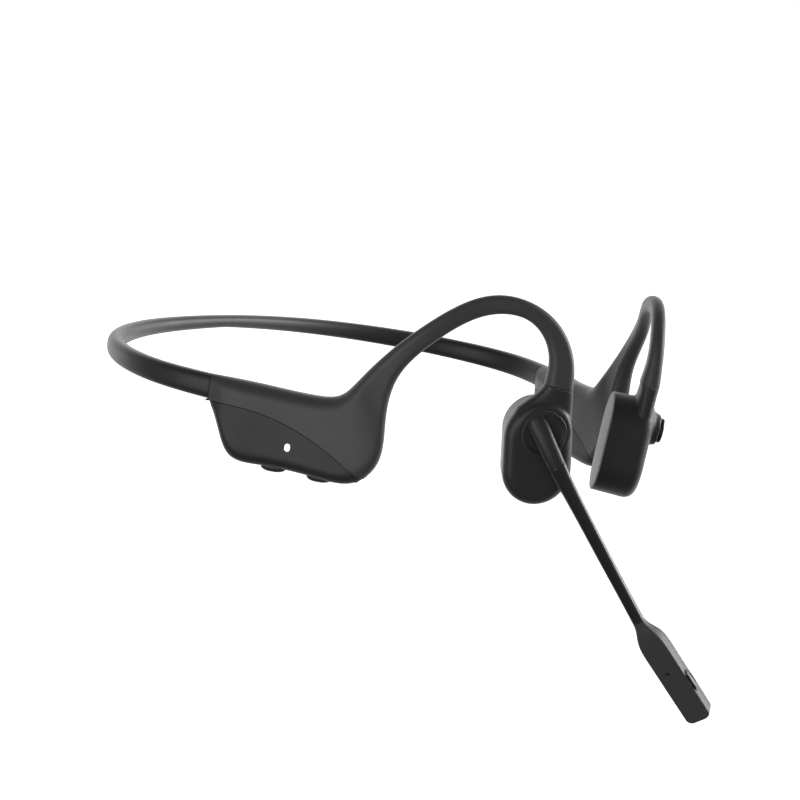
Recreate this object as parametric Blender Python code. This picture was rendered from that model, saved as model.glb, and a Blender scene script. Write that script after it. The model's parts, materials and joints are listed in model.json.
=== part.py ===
"""Bone conduction headset with a boom microphone, in its own frame.

The origin lies midway between the tops of the two ear hooks. +X is the wearer's left, -Y the front
and +Z up. Sizes below are in millimetres and are turned into metres where meshes are made.

Each arm is drawn as a flat pattern: u runs along the arm from the middle of the neckband, v is the
height and w stands out from the head. The plan curve then bends that pattern round the head.
"""

import math

import bmesh
import bpy
import numpy as np
from mathutils import Matrix, Vector

MM = 0.001
LEFT, RIGHT = 1, -1
SIDES = {"right": RIGHT, "left": LEFT}
GAP = 0.3

# Plan of the left arm from the middle of the band round to the front of the transducer.
PLAN_POINTS = [
    (0, 110), (32, 108.2), (57, 98.2), (69.8, 84.6), (74.3, 68), (70.8, 55.5), (62.4, 40.6), (57.2, 29.8),
    (51.6, 18.4), (45.2, 11), (38, 5.8), (31, -0.8), (24.5, -6.3), (18.5, -11), (12, -15.5),
]
HINGE_U, HINGE_OUT = 22.0, 2.0
BAND_END_U = 107.5
BAND_MID_HEIGHT, BAND_DROP, BAND_DROP_POWER = -23.9, 5.7, 1.4
BAND_TALL_MID, BAND_TALL_END = 3.2, 6.0
BAND_THICK_MID, BAND_THICK_END = 3.2, 4.9
WIRE_RADIUS, BORE_RADIUS = 0.55, 0.9

# Matching points of the arm's upper and lower edges as (u, v), then its thickness there.
ARM_EDGES = [
    ((107.7, -26.6), (108.1, -32.6), 5.0),
    ((111.7, -26.7), (111.1, -39.2), 7.2),
    ((116.5, -26.9), (114.4, -45.4), 8.2),
    ((122.5, -27.3), (121.5, -46.5), 8.5),
    ((133.5, -27.8), (136.5, -47.5), 8.5),
    ((138.7, -26.8), (146.4, -47.2), 8.2),
    ((141.7, -23.8), (150.2, -42.2), 7.5),
    ((144.1, -20.5), (150.3, -32.0), 5.6),
    ((147.5, -16.2), (151.7, -20.6), 4.3),
    ((154.6, -8.8), (158.6, -11.5), 3.6),
    ((163.7, -1.9), (166.8, -5.4), 3.3),
    ((173.3, 1.75), (174.3, -2.7), 3.3),
    ((183.1, 0.3), (181.5, -3.6), 3.4),
    ((190.7, -5.5), (186.4, -8.3), 3.5),
    ((194.1, -12.8), (187.9, -13.6), 3.9),
    ((194.9, -19.1), (187.6, -18.1), 4.9),
]
POD_FIRST, POD_LAST = 1, 6
POD_WALL = 1.3
SEAM_START_U, SEAM_V, SEAM_LENGTH, SEAM_FALL, SEAM_POWER = 108.5, -32.8, 38.5, 13.4, 2.2
LEAN_START_V, LEAN_SLOPE, LEAN_EASE = -10.0, 0.105, 6.0

# The transducer's own frame: a towards the front edge, b up, n away from the head.
UNIT_U, UNIT_V, UNIT_RAKE = 188.2, -33.2, math.radians(7.3)
UNIT_FACE, UNIT_SPLIT, UNIT_PAD = 3.1, -6.2, -8.1
UNIT_WALL = 1.2
OUTER_OUTLINE = (-8.9, 8.7, -14.4, 10.9)
INNER_OUTLINE = (-6.9, 9.3, -14.0, 10.6)
SHOULDER_ENDS, SHOULDER_TOP = ((-9.5, 1.5), (1.2, 11.6)), -1.6
DISC_A, DISC_B = 0.9, 3.7
NECK_OUTLINE = [
    (8.1, -2.0), (8.25, 6.0), (8.4, 12.85), (1.2, 14.8),
    (-0.4, 12.9), (-2.8, 11.3), (-5.6, 9.6), (-7.6, 6.5),
]
PIVOT_FLOOR = 2.1
BUTTON_RADIUS = 3.15

# Boom: x from the hub to the tip, y across it and n away from the head, then half width and half depth.
BOOM_ANGLE = math.radians(-59.8)
BOOM_N, BOOM_TWIST = 5.9, math.radians(19)
ELBOW = [
    (-5.3, -0.2, 3.7, 0.7, 0.6), (-4.0, -0.25, 3.9, 1.5, 1.1), (-1.5, -0.4, 4.3, 2.0, 1.5),
    (2.5, -0.8, 5.1, 2.2, 1.9), (7.35, -1.2, BOOM_N, 2.1, 1.9),
]
STALK = [
    (7.65, -1.2, BOOM_N, 2.1, 1.9), (12, -1.4, BOOM_N, 1.95, 1.8), (20, -1.5, BOOM_N, 1.75, 1.7),
    (34, -1.55, BOOM_N, 1.6, 1.6), (45, -1.53, BOOM_N, 1.5, 1.5), (53.3, -1.5, BOOM_N, 1.5, 1.5),
]

# The microphone head has its own frame, at its root and turned towards the boom's front side.
HEAD_ROOT, HEAD_BEND = (53.6, -1.5), math.radians(4.5)
HEAD = [
    (0, 0, 0, 1.5, 1.5), (2.5, 0, 0, 2.05, 1.65), (5.5, 0, 0, 2.95, 1.85), (8.5, 0, 0, 3.25, 1.9),
    (20, 0, 0, 3.25, 1.9), (28.8, 0, 0, 3.2, 1.85), (30.2, 0, 0, 2.9, 1.7), (30.8, 0, 0, 2.3, 1.3),
]
HEAD_HOLLOW = [(7.6, 0, 0, 1.9, 1.0), (10.5, 0, 0, 2.5, 1.2), (28, 0, 0, 2.4, 1.2), (29.4, 0, 0, 1.8, 1.0)]
HEAD_SPLIT = -1.0
MIC_HOLE_X, TIP_MIC_X, MUTE_X = 15.6, 26.6, 20.2
MUTE_LONG, MUTE_TALL, MUTE_PROUD = 6.1, 1.7, 0.7

COLOURS = {
    "soft_black": ((0.035, 0.035, 0.036), 0.55, 0.0),
    "shell_grey": ((0.068, 0.068, 0.069), 0.5, 0.0),
    "cover_black": ((0.042, 0.042, 0.043), 0.42, 0.0),
    "pad_grey": ((0.27, 0.27, 0.275), 0.6, 0.0),
    "gloss_black": ((0.012, 0.012, 0.013), 0.2, 0.0),
    "alloy": ((0.62, 0.6, 0.58), 0.3, 1.0),
    "steel": ((0.56, 0.56, 0.58), 0.25, 1.0),
    "magnet": ((0.45, 0.45, 0.47), 0.3, 1.0),
    "copper": ((0.72, 0.33, 0.16), 0.35, 1.0),
    "gold": ((0.85, 0.62, 0.28), 0.25, 1.0),
    "board_green": ((0.02, 0.09, 0.05), 0.45, 0.0),
    "cell_foil": ((0.3, 0.32, 0.36), 0.35, 0.6),
    "lens_white": ((0.8, 0.82, 0.84), 0.3, 0.0),
    "polymer_white": ((0.62, 0.6, 0.55), 0.5, 0.0),
}


# ---- scene and materials ----

def clear_scene():
    for thing in list(bpy.data.objects):
        bpy.data.objects.remove(thing, do_unlink=True)


def new_collection(name, hidden=False):
    found = bpy.data.collections.new(name)
    bpy.context.scene.collection.children.link(found)
    found.hide_render = hidden
    return found


def material(name):
    """The Principled material of this name, made when it is first asked for."""
    if name in bpy.data.materials:
        return bpy.data.materials[name]
    colour, roughness, metallic = COLOURS[name]
    made = bpy.data.materials.new(name)
    made.use_nodes = True
    shader = made.node_tree.nodes["Principled BSDF"]
    shader.inputs["Base Color"].default_value = (*colour, 1)
    shader.inputs["Roughness"].default_value = roughness
    shader.inputs["Metallic"].default_value = metallic
    return made


# ---- curves that the design follows ----

def spline(points, start_slope=None):
    """A cubic curve through the points as a function of its knots, which are the chord lengths."""
    points = np.array(points, float)
    knots = np.concatenate([[0], np.cumsum(np.linalg.norm(np.diff(points, axis=0), axis=1))])
    steps = np.diff(knots)
    rates = np.diff(points, axis=0) / steps[:, None]
    size = len(points)
    system, right_side = np.eye(size), np.zeros_like(points)
    for i in range(1, size - 1):
        system[i, i - 1 : i + 2] = steps[i - 1], 2 * (steps[i - 1] + steps[i]), steps[i]
        right_side[i] = 6 * (rates[i] - rates[i - 1])
    if start_slope is not None:
        system[0, :2] = 2 * steps[0], steps[0]
        right_side[0] = 6 * (rates[0] - np.array(start_slope))
    bends = np.linalg.solve(system, right_side)

    def curve(at):
        i = int(np.clip(np.searchsorted(knots, at) - 1, 0, size - 2))
        h, after, before = steps[i], at - knots[i], knots[i + 1] - at
        ends = (bends[i] * before**3 + bends[i + 1] * after**3) / (6 * h)
        line_start = (points[i] / h - bends[i] * h / 6) * before
        line_end = (points[i + 1] / h - bends[i + 1] * h / 6) * after
        return ends + line_start + line_end

    return curve, knots


plan, _ = spline(PLAN_POINTS, start_slope=(1, 0))


def lean(v):
    """How far the front leg and the transducer lie inwards at this height."""
    depth = max(0.0, LEAN_START_V - v)
    return LEAN_SLOPE * depth * depth / (depth + LEAN_EASE)


def place(u, v, w, side):
    """The flat pattern's point (u, v, w) bent round the head, in metres."""
    x, y = plan(abs(u))
    tx, ty = plan(abs(u) + 0.1) - plan(abs(u) - 0.1) if abs(u) > 0.1 else (1, 0)
    length = math.hypot(tx, ty)
    if u > 180:
        w -= lean(v)
    turn = side if u >= 0 else -side
    return Vector((turn * (x - w * ty / length), y + w * tx / length, v)) * MM


def frame_at(u, v, w, side):
    """A rigid frame on the flat pattern: X along the arm, Y up and Z away from the head."""
    origin = place(u, v, w, side)
    along = (place(u + 0.5, v, w, side) - place(u - 0.5, v, w, side)).normalized()
    up = (place(u, v + 0.5, w, side) - origin).normalized()
    out = (place(u, v, w + 1, side) - origin).normalized()
    up = (up - along * up.dot(along)).normalized()
    out = along.cross(up) * (1 if along.cross(up).dot(out) > 0 else -1)
    return Matrix.Translation(origin) @ Matrix((along, up, out)).transposed().to_4x4()


def unit_frame(side):
    """The transducer's frame: X towards its front edge, Y up and Z away from the head."""
    frame = frame_at(UNIT_U, UNIT_V, 0, side)
    tilt = Matrix.Rotation(UNIT_RAKE, 4, "Z")
    return frame @ tilt


def band_height(u):
    return BAND_MID_HEIGHT - BAND_DROP * (abs(u) / BAND_END_U) ** BAND_DROP_POWER


def rounded_ring(half_p, half_q, radius, steps=3):
    """A rectangle with round corners as (p, q) pairs, anticlockwise from the +p side."""
    radius = min(radius, half_p * 0.98, half_q * 0.98)
    ring = []
    for quarter, (sign_p, sign_q) in enumerate(((1, 1), (-1, 1), (-1, -1), (1, -1))):
        for step in range(steps + 1):
            angle = math.pi / 2 * (quarter + step / steps)
            ring.append((
                sign_p * (half_p - radius) + radius * math.cos(angle),
                sign_q * (half_q - radius) + radius * math.sin(angle),
            ))
    return ring


# ---- mesh makers ----

def finish(name, mesh_builder, look, group, smooth=True):
    """Makes an object from a bmesh, its faces turned outwards."""
    bmesh.ops.remove_doubles(mesh_builder, verts=mesh_builder.verts, dist=1e-7)
    bmesh.ops.recalc_face_normals(mesh_builder, faces=mesh_builder.faces)
    mesh = bpy.data.meshes.new(name)
    mesh_builder.to_mesh(mesh)
    mesh_builder.free()
    if smooth:
        mesh.shade_smooth()
        mesh.set_sharp_from_angle(angle=math.radians(35))
    made = bpy.data.objects.new(name, mesh)
    group.objects.link(made)
    if look:
        mesh.materials.append(material(look))
    else:
        made.hide_render = True
        made.display_type = "WIRE"
    return made


def skin(mesh_builder, rings):
    """Sides between neighbouring rings of equal count, returned with the rings' vertices."""
    rows = [[mesh_builder.verts.new(point) for point in ring] for ring in rings]
    count = len(rows[0])
    for lower, upper in zip(rows, rows[1:]):
        for i in range(count):
            j = (i + 1) % count
            mesh_builder.faces.new((lower[i], lower[j], upper[j], upper[i]))
    return rows


def loft(name, rings, look, group):
    """A closed solid through rings of points."""
    builder = bmesh.new()
    rows = skin(builder, rings)
    builder.faces.new(rows[0][::-1])
    builder.faces.new(rows[-1])
    return finish(name, builder, look, group)


def sleeve(name, outer, inner, look, group):
    """A tube wall between outer and inner rings, closed by a flat ring at each end."""
    builder = bmesh.new()
    outside, inside = skin(builder, outer), skin(builder, inner)
    for end in (0, -1):
        for i in range(len(outside[0])):
            j = (i + 1) % len(outside[0])
            builder.faces.new((outside[end][i], outside[end][j], inside[end][j], inside[end][i]))
    return finish(name, builder, look, group)


def prism(name, outline, low, high, frame, look, group, edge=0.0):
    """A flat outline in a frame's XY plane, thick from low to high, its rims bevelled by edge."""
    builder = bmesh.new()
    base = builder.faces.new([builder.verts.new((x, y, low)) for x, y in outline])
    raised = bmesh.ops.extrude_face_region(builder, geom=[base])
    tops = [item for item in raised["geom"] if isinstance(item, bmesh.types.BMVert)]
    bmesh.ops.translate(builder, verts=tops, vec=(0, 0, high - low))
    if edge:
        rims = [item for item in builder.edges if abs(item.verts[0].co.z - item.verts[1].co.z) < 1e-6]
        bmesh.ops.bevel(builder, geom=rims, offset=edge, segments=2, profile=0.5, affect="EDGES")
    bmesh.ops.transform(builder, matrix=frame @ Matrix.Scale(MM, 4), verts=builder.verts)
    return finish(name, builder, look, group)


def block(name, size, centre, frame, look, group):
    builder = bmesh.new()
    bmesh.ops.create_cube(builder, size=1)
    bmesh.ops.scale(builder, vec=size, verts=builder.verts)
    bmesh.ops.translate(builder, vec=centre, verts=builder.verts)
    bmesh.ops.transform(builder, matrix=frame @ Matrix.Scale(MM, 4), verts=builder.verts)
    return finish(name, builder, look, group, smooth=False)


def turned(name, profile, frame, look, group, sides=20):
    """A closed profile of (radius, height) pairs spun about the frame's Z axis."""
    builder = bmesh.new()
    ring = [builder.verts.new((radius, 0, height)) for radius, height in profile]
    edges = [builder.edges.new((ring[i], ring[(i + 1) % len(ring)])) for i in range(len(ring))]
    bmesh.ops.spin(
        builder, geom=ring + edges, axis=(0, 0, 1), angle=2 * math.pi, steps=sides, use_merge=True,
    )
    bmesh.ops.remove_doubles(builder, verts=builder.verts, dist=1e-5)
    bmesh.ops.transform(builder, matrix=frame @ Matrix.Scale(MM, 4), verts=builder.verts)
    return finish(name, builder, look, group)


def rod(radius, low, high):
    """A solid cylinder's profile for turned()."""
    return [(0, low), (radius, low), (radius, high), (0, high)]


def hoop(inner, outer, low, high):
    """A ring's profile for turned()."""
    return [(inner, low), (outer, low), (outer, high), (inner, high)]


def wire(name, points, radius, look, group):
    """A round wire along the points, as a curve with filled caps."""
    data = bpy.data.curves.new(name, "CURVE")
    data.dimensions = "3D"
    data.bevel_depth = radius * MM
    data.bevel_resolution = 2
    data.use_fill_caps = True
    line = data.splines.new("POLY")
    line.points.add(len(points) - 1)
    for slot, point in zip(line.points, points):
        slot.co = (*point, 1)
    made = bpy.data.objects.new(name, data)
    group.objects.link(made)
    if look:
        data.materials.append(material(look))
        return made
    bpy.context.view_layer.update()
    mesh = bpy.data.meshes.new_from_object(made.evaluated_get(bpy.context.evaluated_depsgraph_get()))
    bpy.data.objects.remove(made, do_unlink=True)
    builder = bmesh.new()
    builder.from_mesh(mesh)
    bpy.data.meshes.remove(mesh)
    return finish(name, builder, None, group)


def boolean(target, tool, operation="DIFFERENCE"):
    modifier = target.modifiers.new(tool.name, "BOOLEAN")
    modifier.operation = operation
    modifier.object = tool
    modifier.solver = "EXACT"


# ---- neckband ----

def band_ring(u, side, shrink=None):
    """The band's section at u, or the bore's where shrink gives its radius."""
    share = abs(u) / BAND_END_U
    tall = (BAND_TALL_MID + (BAND_TALL_END - BAND_TALL_MID) * share) / 2
    thick = (BAND_THICK_MID + (BAND_THICK_END - BAND_THICK_MID) * share) / 2
    if shrink:
        tall = thick = shrink
    middle = band_height(u)
    return [place(u, middle + p, q, side) for p, q in rounded_ring(tall, thick, thick * 0.96, 2)]


def band_stations(start, end, count):
    return [start + (end - start) * i / (count - 1) for i in range(count)]


def make_band(parts):
    cut = HINGE_U - GAP / 2
    middle = band_stations(-cut, cut, 9)
    sleeve(
        "neckband_back_sleeve",
        [band_ring(u, LEFT) for u in middle], [band_ring(u, LEFT, BORE_RADIUS) for u in middle],
        "soft_black", parts,
    )
    core = [place(u, band_height(u), 0, LEFT) for u in middle]
    wire("memory_wire_back", core, WIRE_RADIUS, "alloy", parts)
    for side_name, side in SIDES.items():
        stations = band_stations(HINGE_U + GAP / 2, BAND_END_U - GAP / 2, 19)
        sleeve(
            f"{side_name}_neckband_sleeve",
            [band_ring(u, side) for u in stations], [band_ring(u, side, BORE_RADIUS) for u in stations],
            "soft_black", parts,
        )
        core = [place(u, band_height(u), 0, side) for u in stations + [BAND_END_U + 1.5, BAND_END_U + 4.5]]
        wire(f"{side_name}_memory_wire", core, WIRE_RADIUS, "alloy", parts)


# ---- arms: pod, cover and ear hook ----

upper_edge, upper_knots = spline([row[0] for row in ARM_EDGES])
lower_edge, lower_knots = spline([row[1] for row in ARM_EDGES])


def arm_section(at):
    """Upper point, lower point and thickness of the arm at a row number, whole or between rows."""
    row = min(int(at), len(ARM_EDGES) - 2)
    share = at - row
    top = upper_edge(upper_knots[row] + share * (upper_knots[row + 1] - upper_knots[row]))
    low = lower_edge(lower_knots[row] + share * (lower_knots[row + 1] - lower_knots[row]))
    thick = ARM_EDGES[row][2] * (1 - share) + ARM_EDGES[row + 1][2] * share
    return top, low, thick


def arm_ring(at, side, inset=0.0):
    top, low, thick = arm_section(at)
    middle, across = (top + low) / 2, (top - low) / 2
    half = float(np.hypot(*across))
    radius = min(3.8, thick * 0.47) - inset * 0.7
    ring = []
    for p, q in rounded_ring(half - inset, thick / 2 - inset, radius):
        u, v = middle + across / half * p
        ring.append(place(u, v, q, side))
    return ring


def seam_height(u):
    """The edge between the pod's shell and its cover."""
    share = max(0.0, (u - SEAM_START_U) / SEAM_LENGTH)
    return SEAM_V - SEAM_FALL * share**SEAM_POWER


def seam_cutter(name, side, shift, group):
    """A slab that holds everything below the seam."""
    rings = []
    for i in range(15):
        u = 104.5 + i * 3.4
        corners = ((seam_height(u) + shift, -9), (-60, -9), (-60, 9), (seam_height(u) + shift, 9))
        rings.append([place(u, v, w, side) for v, w in corners])
    return loft(name, rings, None, group)


def hook_path(side):
    """The wire's route from the pod up the hook and down into the transducer."""
    route = [np.array((143.2, -30.0)), np.array((145.9, -25.5))]
    for row in range(8, 16):
        top, low, _ = arm_section(row)
        route.append((top + low) / 2)
    route.append(np.array((191.9, -22.0)))
    route.append(np.array((191.9, -26.0)))
    line, knots = spline(route)
    return [place(*line(knots[-1] * i / 30), 0, side) for i in range(31)]


def make_arm(side_name, side, parts, cutters):
    last = len(ARM_EDGES) - 1
    stations = [i / 2 for i in range(2 * last + 1)]
    shell = loft(f"{side_name}_arm_shell", [arm_ring(at, side) for at in stations], "shell_grey", parts)
    pod_rows = [i / 2 for i in range(2 * POD_LAST + 5)]
    cover = loft(f"{side_name}_pod_cover", [arm_ring(at, side) for at in pod_rows], "cover_black", parts)

    inner_rows = [POD_FIRST + i / 2 for i in range(2 * (POD_LAST - POD_FIRST) + 1)]
    hollow = loft(
        f"{side_name}_pod_hollow", [arm_ring(at, side, POD_WALL) for at in inner_rows], None, cutters,
    )
    route = hook_path(side)
    bore = wire(f"{side_name}_hook_bore", route, BORE_RADIUS, None, cutters)
    ends = (BAND_END_U - 2, BAND_END_U + 3, BAND_END_U + 8)
    band_core = [place(u, band_height(u), 0, side) for u in ends]
    band_bore = wire(f"{side_name}_band_bore", band_core, BORE_RADIUS, None, cutters)
    boolean(shell, seam_cutter(f"{side_name}_below_seam_wide", side, GAP / 2, cutters))
    for tool in (hollow, bore, band_bore):
        boolean(shell, tool)
    boolean(cover, seam_cutter(f"{side_name}_below_seam", side, -GAP / 2, cutters), "INTERSECT")
    boolean(cover, hollow)
    wire(f"{side_name}_hook_wire", route[1:-1], WIRE_RADIUS, "alloy", parts)
    return shell, cover, bore


# ---- transducers ----

def stadium(outline, grow=0.0, steps=8):
    """A box (left, right, bottom, top) with half-round ends as (a, b) pairs."""
    left, right, bottom, top = outline
    half, middle = (right - left) / 2, (left + right) / 2
    radius = half + grow
    ring = []
    for start, centre in ((0, top - half), (math.pi, bottom + half)):
        for step in range(steps + 1):
            angle = start + math.pi * step / steps
            ring.append((middle + radius * math.cos(angle), centre + radius * math.sin(angle)))
    return ring


def outline_at(n):
    """The transducer's outline at a distance n from its wire plane, between pad and outer face."""
    share = (n - UNIT_PAD) / (UNIT_FACE - UNIT_PAD)
    return tuple(low + (high - low) * share for low, high in zip(INNER_OUTLINE, OUTER_OUTLINE))


def stack(levels, frame):
    """Rings of the transducer at (n, grow) levels, in metres."""
    rings = []
    for n, grow in levels:
        outline = stadium(outline_at(n), grow)
        rings.append([frame @ (Vector((a, b, n)) * MM) for a, b in outline])
    return rings


def make_transducer(side_name, side, parts, cutters, bore):
    frame = unit_frame(side)
    split = UNIT_SPLIT
    shell_levels = [(split, 0), (0.5, 0), (1.9, -0.35), (2.7, -1.1), (UNIT_FACE, -2.2)]
    shell = loft(f"{side_name}_transducer_shell", stack(shell_levels, frame), "soft_black", parts)
    neck = prism(f"{side_name}_neck", NECK_OUTLINE, -2.4, UNIT_FACE - 0.05, frame, None, cutters, edge=0.9)
    hollow_levels = [(split - 1, -UNIT_WALL), (UNIT_FACE - UNIT_WALL - 0.4, -UNIT_WALL - 0.6)]
    hollow = loft(f"{side_name}_transducer_hollow", stack(hollow_levels, frame), None, cutters)

    (a0, b0), (a1, b1) = SHOULDER_ENDS
    along = Vector((a1 - a0, b1 - b0)).normalized()
    turn = Matrix.Rotation(math.atan2(along.y, along.x), 4, "Z")
    corner = frame @ Matrix.Translation(Vector((a0, b0, 0)) * MM) @ turn
    wide = block(
        f"{side_name}_shoulder_cut", (23, 12, 9), (3.6, 6, SHOULDER_TOP - 4.5), corner, None, cutters,
    )
    boolean(shell, neck, "UNION")
    boolean(shell, wide)
    boolean(shell, hollow)
    boolean(shell, bore)

    pad_levels = [(UNIT_PAD, -0.9), (UNIT_PAD + 0.5, -0.15), (UNIT_PAD + 1.0, 0), (split - GAP, 0)]
    pad = loft(f"{side_name}_contact_pad", stack(pad_levels, frame), "pad_grey", parts)
    brow_levels = [(split - 0.8, -0.06), (SHOULDER_TOP - GAP, -0.06)]
    brow = loft(f"{side_name}_pad_brow", stack(brow_levels, frame), None, cutters)
    keep = block(
        f"{side_name}_brow_keep", (22.4, 12, 12), (3.6, 6 + GAP, SHOULDER_TOP - 6), corner, None, cutters,
    )
    boolean(brow, keep, "INTERSECT")
    boolean(pad, brow, "UNION")

    centre = frame @ Matrix.Translation(Vector((0.2, -2.2, 0)) * MM)
    turned(f"{side_name}_yoke_cup", [
        (0, -0.4), (0, 0.5), (5.6, 0.5), (5.6, -3.6), (4.9, -3.6), (4.9, -0.4),
    ], centre, "steel", parts)
    turned(f"{side_name}_magnet", rod(3.6, -3.3, -0.7), centre, "magnet", parts)
    turned(f"{side_name}_voice_coil", hoop(4.0, 4.5, -4.3, -0.9), centre, "copper", parts)
    turned(f"{side_name}_leaf_spring", hoop(1.2, 5.7, -5.0, -4.7), centre, "steel", parts)
    levels = [(split - 0.1, -UNIT_WALL - GAP), (split + 0.7, -UNIT_WALL - GAP)]
    inner = [(split - 0.1, -UNIT_WALL - GAP - 0.8), (split + 0.7, -UNIT_WALL - GAP - 0.8)]
    seal = sleeve(f"{side_name}_seal_ring", stack(levels, frame), stack(inner, frame), "soft_black", parts)
    boolean(seal, wide)
    return shell, frame


# ---- controls ----

def oval(long_side, short_side, steps=5):
    """A flat oval with half-round ends, long along X."""
    radius, reach = short_side / 2, (long_side - short_side) / 2
    ring = []
    for end in (1, -1):
        for step in range(steps + 1):
            angle = -math.pi / 2 + math.pi * step / steps
            ring.append((end * (reach + radius * math.cos(angle)), end * radius * math.sin(angle)))
    return ring


VOLUME_BUTTONS = {"volume_up": (125.0, -46.85), "volume_down": (136.3, -47.5)}
VOLUME_LONG, VOLUME_SHORT, VOLUME_PROUD = 6.2, 3.6, 0.8


def make_volume_controls(cover, parts, cutters):
    for name, (u, v) in VOLUME_BUTTONS.items():
        frame = frame_at(u, v, 0, RIGHT) @ Matrix.Rotation(math.pi / 2, 4, "X")
        hole = oval(VOLUME_LONG + 2 * GAP, VOLUME_SHORT + 2 * GAP)
        boolean(cover, prism(f"{name}_hole", hole, -4, 4, frame, None, cutters))
        cap = oval(VOLUME_LONG, VOLUME_SHORT)
        prism(f"{name}_button", cap, -2.3, VOLUME_PROUD, frame, "soft_black", parts, 0.6)
        block(f"{name}_switch", (3.4, 2.6, 1.5), (0, 0, -3.8), frame, "polymer_white", parts)


def make_right_pod(cover, parts, cutters):
    board = frame_at(128.0, -36.6, 0.6, RIGHT)
    block("main_board", (23, 9.9, 0.9), (0.5, 0, 0), board, "board_green", parts)
    light = frame_at(127.9, -40.9, 4.25, RIGHT) @ Matrix.Rotation(math.pi / 2, 4, "Z")
    boolean(cover, prism("status_light_hole", oval(2.5, 1.8), -3, 3, light, None, cutters))
    prism("status_light_pipe", oval(2.1, 1.4), -2.4, 0.05, light, "lens_white", parts)
    port = frame_at(122.5, -40.5, -4.25, RIGHT) @ Matrix.Rotation(math.pi, 4, "X")
    boolean(cover, prism("charging_port_hole", oval(8.6, 4.6), -3, 3, port, None, cutters))
    seat = prism("charging_port", oval(8.0, 4.0), -2.0, -0.1, port, "gloss_black", parts)
    for i, reach in enumerate((-1.9, 1.9)):
        pin = port @ Matrix.Translation(Vector((reach, 0, 0)) * MM)
        boolean(seat, turned(f"charging_pin_hole_{i + 1}", rod(0.9, -4, 2), pin, None, cutters, 12))
        turned(f"charging_pin_{i + 1}", rod(0.6, -2.0, 0.0), pin, "gold", parts, 12)


def make_left_pod(parts):
    cell = frame_at(127.5, -36.6, 0, LEFT)
    block("battery_cell", (19.6, 10.6, 4.2), (0.3, 0.6, 0), cell, "cell_foil", parts)
    block("battery_board", (2.0, 8.0, 3.2), (-11.2, 1.0, 0), cell, "board_green", parts)


def make_call_button(shell, frame, parts, cutters):
    """The boss, button and switch on the left transducer's outer face."""
    centre = frame @ Matrix.Translation(Vector((DISC_A, DISC_B, UNIT_FACE)) * MM)
    boss = turned(
        "button_boss", [(0, -1.4), (5.0, -1.4), (5.0, 0.1), (4.3, 0.6), (4.0, 1.3), (3.9, 1.9), (0, 1.9)],
        centre, None, cutters,
    )
    boolean(shell, boss, "UNION")
    boolean(shell, turned("button_well", rod(BUTTON_RADIUS + GAP, -2.4, 4), centre, None, cutters))
    turned("multifunction_button", [
        (0, -1.2), (BUTTON_RADIUS, -1.2), (BUTTON_RADIUS, 2.8), (BUTTON_RADIUS - 0.4, 3.1), (0, 3.1),
    ], centre, "gloss_black", parts)
    turned("multifunction_switch", rod(1.3, -2.4, -1.85), centre, "steel", parts, 12)


# ---- boom microphone ----

def boom_frame(unit):
    """Along the boom: X from the hub to the tip, Y to its front side and Z away from the head."""
    return unit @ Matrix.Translation(Vector((DISC_A, DISC_B, 0)) * MM) @ Matrix.Rotation(BOOM_ANGLE, 4, "Z")


def no_turn(_x):
    return 0.0


def boom_rings(stations, frame, corner_share, steps=3, turn=no_turn):
    """Sections across the boom, each turned about the boom's own length by turn(x)."""
    rings = []
    for x, y, n, wide, deep in stations:
        middle = Vector((x, y, n))
        roll = Matrix.Rotation(turn(x), 3, "X")
        corner = min(wide, deep) * corner_share
        rings.append([
            frame @ ((middle + roll @ Vector((0, p, q))) * MM)
            for p, q in rounded_ring(wide, deep, corner, steps)
        ])
    return rings


def make_hub(shell, unit, parts, cutters):
    """The disc with its elbow, and the pivot that holds it in the right transducer's face."""
    axle = unit @ Matrix.Translation(Vector((DISC_A, DISC_B, 0)) * MM)
    floor = PIVOT_FLOOR
    boolean(shell, turned("hub_recess", rod(5.85, floor, floor + 3), axle, None, cutters, 28))
    boolean(shell, turned("pivot_hole", rod(1.45, floor - 3, floor + 1), axle, None, cutters, 16))
    hub = turned("boom_hub", [
        (0, floor + 0.6), (5.55, floor + 0.6), (5.55, floor + 1.5), (5.2, floor + 1.8), (0, floor + 1.7),
    ], axle, "soft_black", parts, 28)
    elbow = loft("boom_elbow", boom_rings(ELBOW, boom_frame(unit), 0.95), None, cutters)
    boolean(hub, elbow, "UNION")
    turned("boom_pivot_pin", rod(1.15, floor - 1.4, floor + 0.5), axle, "steel", parts, 16)
    turned("boom_friction_ring", hoop(1.6, 3.6, floor + 0.15, floor + 0.45), axle, "polymer_white", parts, 16)
    turned("boom_retaining_clip", hoop(1.25, 2.6, floor - 1.3, floor - 0.9), axle, "steel", parts, 16)


def make_stalk(frame, parts):
    def turn(x):
        return BOOM_TWIST * min(1.0, max(0.0, (x - 12) / 40))

    bore = [(x, y, n, BORE_RADIUS, BORE_RADIUS) for x, y, n, _, _ in STALK]
    sleeve(
        "boom_stalk",
        boom_rings(STALK, frame, 0.8, 2, turn), boom_rings(bore, frame, 0.8, 2, turn),
        "gloss_black", parts,
    )
    core = [frame @ (Vector((x, y, n)) * MM) for x, y, n, _, _ in STALK]
    wire("boom_core_wire", core, WIRE_RADIUS, "alloy", parts)


def head_frame(boom):
    """The microphone head's frame: X to the tip, Y to the mute button and Z to the outer face."""
    root = Matrix.Translation(Vector((*HEAD_ROOT, BOOM_N)) * MM)
    return boom @ root @ Matrix.Rotation(HEAD_BEND, 4, "Z") @ Matrix.Rotation(BOOM_TWIST, 4, "X")


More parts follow.
